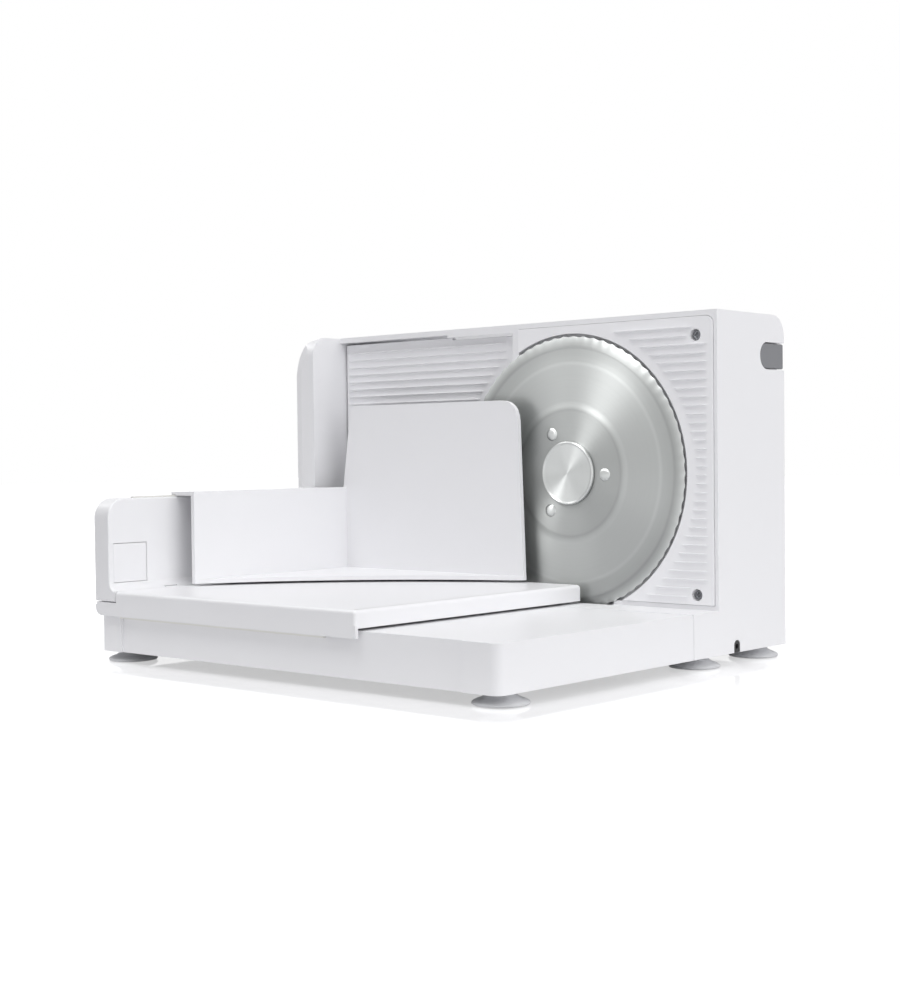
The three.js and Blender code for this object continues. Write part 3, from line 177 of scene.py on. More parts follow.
def close_material(tree: bpy.types.NodeTree, inputs: dict[str | int, Any]) -> None:
    """Ends a material with its shader.

    Args:
        tree: the material's tree.
        inputs: what the shader's own sockets hold or are linked to.
    """
    shader = add_node(tree, "ShaderNodeBsdfPrincipled", inputs)
    add_node(tree, "ShaderNodeOutputMaterial", {"Surface": shader})


# Finishes


@dataclass(frozen=True)
class CloudedFinish:
    """Soft clouds of a second shade over a fine grain, as moulded and plated surfaces have."""

    name: str
    colour: str
    shade: str
    roughness: float
    cloud_mm: float = 46.0
    cloud_detail: float = 3.0
    grain_mm: float = 2.4
    grain_detail: float = 2.0
    gloss_range: Pair | None = None
    relief_strength: float = 0.0
    relief_mm: float = 0.0
    metallic: float = 0.0
    ior: float = 1.5

    def material(self) -> bpy.types.Material:
        """Builds the finish: clouds tint it, and the grain varies its gloss or stands up.

        Returns:
            The material.
        """
        material, tree = new_material(self.name)
        place = add_node(tree, "ShaderNodeTexCoord").outputs["Object"]
        patterns = ((self.cloud_mm, self.cloud_detail), (self.grain_mm, self.grain_detail))
        cloud, grain = (
            add_node(
                tree,
                "ShaderNodeTexNoise",
                {"Vector": place, "Scale": 1 / (size * MM), "Detail": detail},
            )
            for size, detail in patterns
        )
        shades = {"Factor": cloud, 6: linear(self.colour), 7: linear(self.shade)}
        tint = add_node(tree, "ShaderNodeMix", shades, data_type="RGBA")
        inputs: dict[str | int, Any] = {
            "Base Color": tint.outputs[2],
            "Metallic": self.metallic,
            "Roughness": self.roughness,
            "IOR": self.ior,
        }
        if self.gloss_range:
            least, most = (self.roughness * share for share in self.gloss_range)
            spread = {"Value": grain, "To Min": least, "To Max": most}
            inputs["Roughness"] = add_node(tree, "ShaderNodeMapRange", spread)
        if self.relief_strength:
            depth = self.relief_mm * MM
            relief = {"Height": grain, "Strength": self.relief_strength, "Distance": depth}
            inputs["Normal"] = add_node(tree, "ShaderNodeBump", relief)
        close_material(tree, inputs)
        return material


@dataclass(frozen=True)
class MouldedPlastic(CloudedFinish):
    """Injection-moulded plastic: an even colour, a soft sheen and a fine moulded skin.

    The clouds are flow marks. The real skin is a tenth of a millimetre wide, so it is drawn
    coarser, as ripples that soften the reflections.
    """

    gloss_range: Pair | None = (0.96, 1.04)
    relief_strength: float = 0.6
    relief_mm: float = 0.002
    ior: float = 1.53


@dataclass(frozen=True)
class PlatedMetal(CloudedFinish):
    """Plated or sintered metal: clouds from the bath over pits too small to see singly.

    The pits are drawn many times coarser, as patches of a slightly other gloss.
    """

    cloud_mm: float = 9.6
    cloud_detail: float = 4.0
    grain_mm: float = 1.6
    grain_detail: float = 3.0
    gloss_range: Pair | None = (0.8, 1.25)
    metallic: float = 1.0


@dataclass(frozen=True)
class MouldedRubber(CloudedFinish):
    """Soft moulded rubber: dull, with a faint bloom in patches.

    The grain of the mould is drawn coarser than it is, so that it roughens the highlights.
    """

    cloud_mm: float = 8.4
    grain_mm: float = 1.2
    grain_detail: float = 4.0
    relief_strength: float = 0.4
    relief_mm: float = 0.03
    ior: float = 1.52


@dataclass(frozen=True)
class TurnedSteel:
    """Stainless steel ground in circles about an axis along Y: rings of slightly other grey.

    A wheel's grooves are a few hundredths of a millimetre apart. They are drawn as rings about a
    millimetre wide so that they show, and the shader's stretched blur stands for the rest.
    """

    name: str
    colour: str
    shade: str
    roughness: float
    centre: Triple
    bands: tuple[Pair, ...] = ((0.0, 1.0), (85.0, 1.0))
    ring_mm: float = 1.1
    ring_detail: float = 3.0
    ring_contrast: float = 0.6
    ring_span: Pair = (0.3, 0.7)
    gloss_range: Pair = (0.92, 1.08)
    relief_strength: float = 0.3
    relief_mm: float = 0.002
    stretch: float = 0.8

    def band_ramp(self, tree: bpy.types.NodeTree, reach: Any) -> bpy.types.Node:
        """Makes each ground zone a little lighter or darker: painted highlight or shade, for how
        its slope catches the light.

        Args:
            tree: the material's tree.
            reach: the socket with the distance from the axis, in metres.

        Returns:
            The node with the zone's share of the colour.
        """
        last = self.bands[-1][0]
        share = add_node(tree, "ShaderNodeMath", {0: reach, 1: last * MM}, operation="DIVIDE")
        ramp = add_node(tree, "ShaderNodeValToRGB", {"Fac": share})
        points = ramp.color_ramp.elements
        while len(points) < len(self.bands):
            points.new(1.0)
        for point, (radius, grey) in zip(points, self.bands):
            point.position = radius / last
            point.color = (grey, grey, grey, 1.0)
        return ramp

    def material(self) -> bpy.types.Material:
        """Builds the finish, with its grain along circles about the centre.

        The grain is finer than a pixel, so it shows as fans of light across it and faint rings.

        Returns:
            The material.
        """
        material, tree = new_material(self.name)
        place = add_node(tree, "ShaderNodeTexCoord").outputs["Object"]
        vector = "ShaderNodeVectorMath"
        arm = add_node(tree, vector, {0: place, 1: self.centre}, operation="SUBTRACT")
        flat = add_node(tree, vector, {0: arm, 1: (1, 0, 1)}, operation="MULTIPLY")
        # This shader blurs along its tangent, so the tangent points across the circular grain
        tangent = add_node(tree, vector, {0: flat}, operation="NORMALIZE")
        reach = add_node(tree, vector, {0: flat}, operation="LENGTH").outputs["Value"]
        rings = add_node(
            tree,
            "ShaderNodeTexNoise",
            {
                "W": reach,
                "Scale": 1 / (self.ring_mm * MM),
                "Detail": self.ring_detail,
                "Roughness": self.ring_contrast,
            },
            noise_dimensions="1D",
        )
        shades = {"Factor": rings, 6: linear(self.shade), 7: linear(self.colour)}
        tint = add_node(tree, "ShaderNodeMix", shades, data_type="RGBA")
        # The zones' painted highlight and shade rings lighten or darken the grey
        with_painted_rings = add_node(
            tree,
            "ShaderNodeMix",
            {"Factor": 1.0, 6: tint.outputs[2], 7: self.band_ramp(tree, reach)},
            data_type="RGBA",
            blend_type="MULTIPLY",
        )
        gloss = add_node(
            tree,
            "ShaderNodeMapRange",
            {
                "Value": rings,
                "From Min": self.ring_span[0],
                "From Max": self.ring_span[1],
                "To Min": self.roughness * self.gloss_range[0],
                "To Max": self.roughness * self.gloss_range[1],
            },
        )
        depth = self.relief_mm * MM
        relief = {"Height": rings, "Strength": self.relief_strength, "Distance": depth}
        close_material(
            tree,
            {
                "Base Color": with_painted_rings.outputs[2],
                "Metallic": 1.0,
                "Roughness": gloss,
                "Anisotropic": self.stretch,
                "Tangent": tangent,
                "Normal": add_node(tree, "ShaderNodeBump", relief),
            },
        )
        return material


# Radius in millimetres and share of the blade's colour, as painted highlight and shade rings:
# flat middle, shaded dish, flat, bright crest, shaded hollow ring and bright edge bevel
BLADE_PAINTED_RINGS = (
    (0.0, 0.9), (37.5, 0.88), (39.5, 0.8), (41.5, 1.0), (43.5, 1.05), (45.5, 1.0), (66.0, 1.0),
    (68.0, 1.08), (70.0, 0.95), (76.5, 0.9), (78.2, 0.76), (79.8, 0.86), (82.5, 1.1), (83.6, 1.25),
    (85.0, 1.4),
)


@dataclass(frozen=True)
class Finishes:
    """Every finish of the slicer."""

    white: MouldedPlastic = MouldedPlastic("white_abs_gloss", "#f4f4f6", "#f2f2f4", 0.36)
    # Set lighter than the white plastic: painted light that makes up for the shade on the recessed
    # panel and fence
    panel: MouldedPlastic = MouldedPlastic("light_grey_abs_satin", "#fafafc", "#f7f7f9", 0.4)
    grey: MouldedPlastic = MouldedPlastic("grey_abs_fine_texture", "#7c7d81", "#76777b", 0.42)
    ink: MouldedPlastic = MouldedPlastic("grey_pad_print", "#77787c", "#717277", 0.55)
    dark: MouldedPlastic = MouldedPlastic("black_phenolic", "#2b2b2e", "#28282b", 0.45)
    nylon: MouldedPlastic = MouldedPlastic("natural_nylon", "#eeeeea", "#eae9e4", 0.4)
    rubber: MouldedRubber = MouldedRubber("grey_tpe_rubber", "#cdced1", "#d2d3d5", 0.55)
    dark_rubber: MouldedRubber = MouldedRubber("black_rubber", "#1c1c1d", "#262627", 0.6)
    zinc: PlatedMetal = PlatedMetal("zinc_plated_steel", "#b4b6b8", "#9b9da0", 0.34)
    # Screw heads darker than plain steel: partly their own dark steel, partly painted shade of the
    # deep wells they sit in
    grey_screw: PlatedMetal = PlatedMetal("dark_steel_and_painted_well_shade", "#77787c", "#6a6b6f", 0.42)
    bronze: PlatedMetal = PlatedMetal("sintered_bronze", "#b08a4e", "#9a7640", 0.5)
    # The blade's colour carries painted highlight and shade rings by radius
    blade: TurnedSteel = TurnedSteel(
        "ground_stainless_steel", "#b0b2b1", "#a7a9a8", 0.45, tuple(BLADE_AXIS), BLADE_PAINTED_RINGS
    )
    cap: TurnedSteel = TurnedSteel(
        "turned_stainless_steel", "#c6c8c7", "#bcbebd", 0.4, tuple(BLADE_AXIS), ring_mm=0.7
    )


# Meshes


def link_mesh(name: str, mesh: bpy.types.Mesh) -> bpy.types.Object:
    """Puts a mesh in the scene as an object at the origin.

    Args:
        name: the object's name.
        mesh: its mesh.

    Returns:
        The object.
    """
    piece = bpy.data.objects.new(name, mesh)
    bpy.context.scene.collection.objects.link(piece)
    return piece


def mesh_from(
    name: str, points: Iterable[Sequence[float]], faces: Iterable[Sequence[int]]
) -> bpy.types.Mesh:
    """Makes a mesh whose faces point outwards.

    Args:
        name: the mesh's name.
        points: its vertices, in metres.
        faces: its faces.

    Returns:
        The mesh.
    """
    mesh = bpy.data.meshes.new(name)
    mesh.from_pydata([tuple(p) for p in points], [], [tuple(f) for f in faces])
    work = bmesh.new()
    work.from_mesh(mesh)
    bmesh.ops.remove_doubles(work, verts=work.verts, dist=SAME_POINT)
    bmesh.ops.recalc_face_normals(work, faces=work.faces)
    work.to_mesh(mesh)
    work.free()
    return mesh


def smooth(mesh: bpy.types.Mesh, degrees: float = SMOOTH_UNDER) -> None:
    """Shades a mesh smooth, apart from the edges that turn by more than an angle.

    Args:
        mesh: the mesh.
        degrees: the angle.
    """
    mesh.shade_smooth()
    mesh.set_sharp_from_angle(angle=math.radians(degrees))


def settle(piece: bpy.types.Object) -> bpy.types.Object:
    """Turns what an object's modifiers make into its plain mesh.

    Args:
        piece: the object.

    Returns:
        The same object, without modifiers.
    """
    graph = bpy.context.evaluated_depsgraph_get()
    mesh = bpy.data.meshes.new_from_object(piece.evaluated_get(graph), depsgraph=graph)
    piece.modifiers.clear()
    piece.data = mesh
    return piece


def metres(pairs: Iterable[Pair]) -> list[Pair]:
    """Turns pairs of millimetres into metres."""
    return [(first * MM, second * MM) for first, second in pairs]


def lathe(name: str, profile: Sequence[Pair], centre: Vector, sides: int) -> bpy.types.Mesh:
    """Turns a profile about an axis along Y.

    Args:
        name: the mesh's name.
        profile: radius and place along Y for each corner, in metres.
        centre: a point on the axis.
        sides: how many steps go round.

    Returns:
        The turned mesh, closed at its poles.
    """
    points: list[Vector] = []
    faces: list[tuple[int, ...]] = []
    for radius, y in profile:
        for step in range(sides):
            angle = step * math.tau / sides
            points.append(centre + Vector((radius * math.cos(angle), y, radius * math.sin(angle))))
    for row in range(len(profile) - 1):
        for step in range(sides):
            after = (step + 1) % sides
            low, high = row * sides, (row + 1) * sides
            faces.append((low + step, low + after, high + after, high + step))
    mesh = mesh_from(name, points, faces)
    smooth(mesh)
    return mesh


def dress(mesh: bpy.types.Mesh, material: bpy.types.Material) -> None:
    """Gives a whole mesh one material."""
    mesh.materials.clear()
    mesh.materials.append(material)


def between(
    first: Sequence[float], start_mm: Triple, last: Sequence[float], end_mm: Triple
) -> Box:
    """Gives a box by its distances from two known points.

    Args:
        first: the point near which the box starts, in metres.
        start_mm: how far from there it starts.
        last: the point near which it ends, in metres.
        end_mm: how far from there it ends.

    Returns:
        The box's low and high corner, in metres.
    """
    low = tuple(c + mm * MM for c, mm in zip(first, start_mm))
    return low, tuple(c + mm * MM for c, mm in zip(last, end_mm))


@dataclass(frozen=True)
class Rounding:
    """Which sharp outer edges of a moulding are rounded, and by how much."""

    width_mm: float
    planes: tuple[tuple[int, float], ...]
    spare: tuple[Box, ...] = ()
    steps: int = 3
    clamp: bool = True
    smooth_under: float = SMOOTH_UNDER
    sharp_over: float = 40.0
    on_plane_mm: float = 0.02

    def takes(self, edge: bmesh.types.BMEdge) -> bool:
        """Says whether an edge is rounded.

        Args:
            edge: an edge of the merged mesh.

        Returns:
            True for a sharp convex edge that lies on one of the planes and in no spared box.
        """
        if len(edge.link_faces) != 2 or not edge.is_convex:
            return False
        if edge.calc_face_angle() < math.radians(self.sharp_over):
            return False
        ends = [v.co for v in edge.verts]
        near = self.on_plane_mm * MM
        on_plane = any(
            all(abs(end[axis] - value) < near for end in ends) for axis, value in self.planes
        )
        return on_plane and not any(
            all(low[i] <= c <= high[i] for i, c in enumerate((ends[0] + ends[1]) / 2))
            for low, high in self.spare
        )


def round_edges(
    name: str, work: bmesh.types.BMesh, rounding: Rounding, harden: bool
) -> bpy.types.Object:
    """Turns a working mesh into an object with rounded edges, and frees it.

    Args:
        name: the new object's name.
        work: the mesh.
        rounding: the edges to round.
        harden: whether flat faces keep exactly flat shading.

    Returns:
        The object.
    """
    weights = work.edges.layers.float.new("bevel_weight_edge")
    for edge in work.edges:
        edge[weights] = 1.0 if rounding.takes(edge) else 0.0
    mesh = bpy.data.meshes.new(name)
    work.to_mesh(mesh)
    work.free()
    smooth(mesh, rounding.smooth_under)
    piece = link_mesh(name, mesh)
    bevel = piece.modifiers.new("edges", "BEVEL")
    bevel.limit_method = "WEIGHT"
    bevel.width = rounding.width_mm * MM
    bevel.segments = rounding.steps
    bevel.use_clamp_overlap = rounding.clamp
    bevel.miter_outer = "MITER_ARC"
    bevel.loop_slide = False
    bevel.harden_normals = harden
    if not harden:
        piece.modifiers.new("shading", "WEIGHTED_NORMAL").keep_sharp = True
    return settle(piece)


def moulding(name: str, source: bpy.types.Object, rounding: Rounding) -> bpy.types.Object:
    """Copies a CAD solid, merges its triangles and rounds its outer edges.

    Args:
        name: the new piece's name.
        source: the CAD node's object.
        rounding: the edges to round.

    Returns:
        The new piece.
    """
    flat = math.radians(0.4)
    work = bmesh.new()
    work.from_mesh(source.data)
    bmesh.ops.remove_doubles(work, verts=work.verts, dist=SAME_CAD_POINT)
    bmesh.ops.dissolve_limit(work, angle_limit=flat, verts=work.verts, edges=work.edges)
    return round_edges(name, work, rounding, False)


def arc(centre: Pair, radius: float, start: float, end: float, steps: int) -> list[Pair]:
    """Lists points along an arc in the XZ plane.

    Args:
        centre: its centre, X and Z.
        radius: its radius.
        start: the first angle from +X, in degrees.
        end: the last one.
        steps: how many steps lie between them.

    Returns:
        The points.
    """
    angles = (math.radians(start + (end - start) * i / steps) for i in range(steps + 1))
    return [(centre[0] + radius * math.cos(a), centre[1] + radius * math.sin(a)) for a in angles]


def half_chord(radius: float, z: float) -> float:
    """Gives how far a circle about the blade's axis reaches to each side at a height."""
    return math.sqrt(max(radius**2 - (z - BLADE_AXIS.z) ** 2, 0.0))


def sheet(
    name: str, outlines: Sequence[Sequence[Pair]], front: float, back: float, edge_mm: float
) -> bpy.types.Object:
    """Builds a flat moulded sheet from its outline and its holes, with rounded front edges.

    Args:
        name: the sheet's name.
        outlines: closed outlines in X and Z, first the outer one.
        front: where its front face is.
        back: where its back is.
        edge_mm: the rounding of the front edges.

    Returns:
        The sheet.
    """
    work = bmesh.new()
    for outline in outlines:
        verts = [work.verts.new((x, front, z)) for x, z in outline]
        for i, vert in enumerate(verts):
            work.edges.new((vert, verts[(i + 1) % len(verts)]))
    bmesh.ops.triangle_fill(work, use_beauty=True, edges=work.edges[:])
    grown = bmesh.ops.extrude_face_region(work, geom=work.faces[:])
    for item in grown["geom"]:
        if isinstance(item, bmesh.types.BMVert):
            item.co.y = back
    bmesh.ops.recalc_face_normals(work, faces=work.faces)
    return round_edges(name, work, Rounding(edge_mm, ((1, front),)), True)


def join_into(piece: bpy.types.Object, *others: bpy.types.Object) -> None:
    """Adds other objects' meshes to a piece and removes those objects.

    Args:
        piece: the piece that stays.
        others: the objects that go into it.
    """
    work = bmesh.new()
    work.from_mesh(piece.data)
    for other in others:
        work.from_mesh(other.data)
    work.to_mesh(piece.data)
    work.free()
    for other in others:
        bpy.data.objects.remove(other)


# Geometry Nodes


def grow(
    piece: bpy.types.Object, tree: bpy.types.NodeTree, values: dict[str, Any]
) -> bpy.types.Object:
    """Runs a geometry node tree on an object and keeps the result as a plain mesh.

    Args:
        piece: the object.
        tree: the tree.
        values: a value for each named input, which is set by the input's identifier.

    Returns:
        The object, with the tree's result as its mesh.
    """
    modifier = piece.modifiers.new("grow", "NODES")
    modifier.node_group = tree
    for item in tree.interface.items_tree:
        if item.in_out == "INPUT" and item.name in values:
            modifier[item.identifier] = values[item.name]
    return settle(piece)


def new_tree(name: str, sockets: dict[str, tuple[str, Any]]) -> bpy.types.NodeTree:
    """Makes a geometry node tree with a Geometry input and output and named inputs.

    Args:
        name: the tree's name.
        sockets: for each named input, its socket type and its value, or None.

    Returns:
        The tree.
    """
    tree = bpy.data.node_groups.new(name, "GeometryNodeTree")
    for way in ("INPUT", "OUTPUT"):
        tree.interface.new_socket("Geometry", in_out=way, socket_type="NodeSocketGeometry")
    for socket, (kind, value) in sockets.items():
        made = tree.interface.new_socket(socket, in_out="INPUT", socket_type=kind)
        if value is not None:
            made.default_value = value
    return tree


def close_tree(tree: bpy.types.NodeTree, geometry: Any, finish: Any) -> None:
    """Ends a tree by making its instances real and giving them their finish.

    Args:
        tree: the tree.
        geometry: the socket or node with what was built.
        finish: the socket with the material.
    """
    real = add_node(tree, "GeometryNodeRealizeInstances", {"Geometry": geometry})
    dressed = add_node(tree, "GeometryNodeSetMaterial", {"Geometry": real, "Material": finish})
    add_node(tree, "NodeGroupOutput", {"Geometry": dressed})


def placing_tree() -> bpy.types.NodeTree:
    """Builds the tree that sets one piece on every point, turned by the point's own angles.

    Returns:
        The tree, with inputs Piece, Size and Finish.
    """
    sockets = {
        "Piece": ("NodeSocketObject", None),
        "Size": ("NodeSocketFloat", 1.0),
        "Finish": ("NodeSocketMaterial", None),
    }
    tree = new_tree("place_on_points", sockets)
    start = add_node(tree, "NodeGroupInput").outputs
    turn = add_node(
        tree, "GeometryNodeInputNamedAttribute", {"Name": "turn"}, data_type="FLOAT_VECTOR"
    )
    shape = add_node(tree, "GeometryNodeObjectInfo", {"Object": start["Piece"]})
    placed = add_node(
        tree,
        "GeometryNodeInstanceOnPoints",
        {
            "Points": start["Geometry"],
            "Instance": shape.outputs["Geometry"],
            "Rotation": turn.outputs["Attribute"],
            "Scale": start["Size"],
        },
    )
    close_tree(tree, placed, start["Finish"])
    return tree


def rib_tree() -> bpy.types.NodeTree:
    """Builds the tree that turns straight lines into low ribs with ends that run out.

    Returns:
        The tree, with inputs Section, Steps, Run out and Finish.
    """
    sockets = {
        "Section": ("NodeSocketObject", None),
        "Steps": ("NodeSocketInt", 40),
        "Run out": ("NodeSocketFloat", 2.5 * MM),
        "Finish": ("NodeSocketMaterial", None),
    }
    end_share = 0.08
    tree = new_tree("moulded_ribs", sockets)
    start = add_node(tree, "NodeGroupInput").outputs
    lines = add_node(tree, "GeometryNodeMeshToCurve", {0: start["Geometry"]})
    fine = add_node(tree, "GeometryNodeResampleCurve", {"Curve": lines, "Count": start["Steps"]})
    along = add_node(tree, "GeometryNodeSplineParameter").outputs["Length"]
    total = add_node(tree, "GeometryNodeSplineLength").outputs["Length"]
    left = add_node(tree, "ShaderNodeMath", {0: total, 1: along}, operation="SUBTRACT")
    nearest = add_node(tree, "ShaderNodeMath", {0: along, 1: left}, operation="MINIMUM")
    rise = add_node(
        tree,
        "ShaderNodeMapRange",
        {"Value": nearest, "From Max": start["Run out"], "To Min": end_share, "To Max": 1.0},
        interpolation_type="SMOOTHERSTEP",
    )
    section = add_node(tree, "GeometryNodeObjectInfo", {"Object": start["Section"]})
    outline = add_node(tree, "GeometryNodeMeshToCurve", {0: section.outputs["Geometry"]})
    solid = add_node(
        tree,
        "GeometryNodeCurveToMesh",
        {"Curve": fine, "Profile Curve": outline, "Scale": rise, "Fill Caps": True},
    )
    close_tree(tree, solid, start["Finish"])
    return tree


def point_cloud(name: str, places: Sequence[tuple[Sequence[float], Side]]) -> bpy.types.Object:
    """Makes loose points that carry the angles of what will stand on them.

    Args:
        name: the object's name.
        places: each point and the way that its piece faces.

    Returns:
        The object.
    """
    mesh = bpy.data.meshes.new(name)
    mesh.from_pydata([tuple(place) for place, _ in places], [], [])
    turn = mesh.attributes.new("turn", "FLOAT_VECTOR", "POINT")
    for entry, (_, side) in zip(turn.data, places):
        entry.vector = side.value
    return link_mesh(name, mesh)


# The slicer


@dataclass
class Slicer:
    """What every sub-assembly shares: the frame, the finishes and the trees."""

    frame: dict[str, Any]

    def __post_init__(self) -> None:
        """Makes each material and tree once."""
        chosen = Finishes()
        self.materials = {
            field: getattr(chosen, field).material() for field in Finishes.__dataclass_fields__
        }
        self.placing = placing_tree()
        self.ribs = rib_tree()

    def node(self, name: str) -> bpy.types.Object:
        """Gives a CAD node's object."""
        return self.frame["nodes"][name]

    def keep(self, finish: str, *names: str) -> None:
        """Gives CAD nodes that stay their finish.

        Args:
            finish: the finish's name in Finishes.
            names: the nodes.
        """
        for name in names:
            dress(self.node(name).data, self.materials[finish])
            LOG.info("kept %s in %s", name, finish)

    def hand_over(
        self, piece: bpy.types.Object, body: str, slot: Slot, finish: str | None, *nodes: str
    ) -> None:
        """Dresses a piece, lets it ride on its body and stand for its nodes.

        Args:
            piece: the piece.
            body: the body that it moves with.
            slot: the record's slot; not used.
            finish: the finish's name, or None where the piece has its own already.
            nodes: the CAD nodes that it replaces.
        """
        if finish:
            dress(piece.data, self.materials[finish])
        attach(piece, body)
        if nodes:
            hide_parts(*nodes)
        LOG.info("built %s on %s, %d faces", piece.name, body, len(piece.data.polygons))

    def round_off(
        self, node: str, name: str, body: str, slot: Slot, finish: str, rounding: Rounding
    ) -> None:
        """Lets a copy of a CAD solid with rounded edges stand for it.

        Args:
            node: the CAD node.
            name: the new piece's name.
            body: the body that it moves with.
            slot: the record's slot.
            finish: the finish's name.
            rounding: the edges to round.
        """
        self.hand_over(moulding(name, self.node(node), rounding), body, slot, finish, node)

    def repeat(
        self,
        name: str,
        source: bpy.types.Mesh,
        finish: str,
        places: Sequence[tuple[Sequence[float], Side]],
    ) -> bpy.types.Object:
        """Sets copies of one small piece on points, as one mesh.

        Args:
            name: the new object's name.
            source: the small piece, built about the origin.
            finish: its finish.
            places: where each copy stands and which way it faces.

        Returns:
            The object.
        """
        model = link_mesh(name + "_model", source)
        values = {"Piece": model, "Size": 1.0, "Finish": self.materials[finish]}
        piece = grow(point_cloud(name, places), self.placing, values)
        bpy.data.objects.remove(model)
        smooth(piece.data)
        return piece


@dataclass
class Ribs:
    """Low ribs along X on a flat plastic face, stopping short of openings and rims."""

    pitch_mm: float = 5.1
    half_width_mm: float = 1.7
    rise_mm: float = 0.3
    run_out_mm: float = 2.4
    sink_mm: float = 0.2
    crest_points: int = 15
    steps_along: int = 48
    smooth_under: float = 50.0

    def section(self, name: str) -> bpy.types.Object:
        """Draws the rib's section: a low wave whose foot is sunk a little into the face.

        Args:
            name: the section's name.

        Returns:
            A closed loop of edges. Its first axis goes across the rib, its second off the face.
        """
        points = []
        for i in range(self.crest_points):
            across = 1 - 2 * i / (self.crest_points - 1)
            rise = self.rise_mm * (1 + math.cos(math.pi * across)) / 2
            points.append((across * self.half_width_mm * MM, rise * MM, 0.0))
        for side in (-1, 1):
            points.append((side * self.half_width_mm * MM, -self.sink_mm * MM, 0.0))
        mesh = bpy.data.meshes.new(name)
        mesh.from_pydata(points, [(i, (i + 1) % len(points)) for i in range(len(points))], [])
        return link_mesh(name, mesh)

    def on_face(
        self, slicer: Slicer, name: str, face_y: float, rows: Sequence[Triple], finish: str
    ) -> bpy.types.Object:
        """Builds all ribs of a face as one mesh.

        Args:
            slicer: gives the tree and the finish.
            name: the object's name.
            face_y: where the face is.
            rows: for each rib its height and its two ends.
            finish: the finish's name.

        Returns:
            The ribs.
        """
        points = [(x, face_y, z) for z, left, right in rows for x in (left, right)]
        mesh = bpy.data.meshes.new(name)
        mesh.from_pydata(points, [(i, i + 1) for i in range(0, len(points), 2)], [])
        section = self.section(name + "_section")
        values = {
            "Section": section,
            "Steps": self.steps_along,
            "Run out": self.run_out_mm * MM,
            "Finish": slicer.materials[finish],
        }
        ribs = grow(link_mesh(name, mesh), slicer.ribs, values)
        bpy.data.objects.remove(section)
        work = bmesh.new()
        work.from_mesh(ribs.data)
        bmesh.ops.recalc_face_normals(work, faces=work.faces)
        work.to_mesh(ribs.data)
        work.free()
        smooth(ribs.data, self.smooth_under)
        return ribs


# The corners of a box, the inner four first, joined to its faces
BOX_FACES = (
    (0, 1, 2, 3), (4, 5, 6, 7), (0, 1, 5, 4), (1, 2, 6, 5), (2, 3, 7, 6), (3, 0, 4, 7),
)


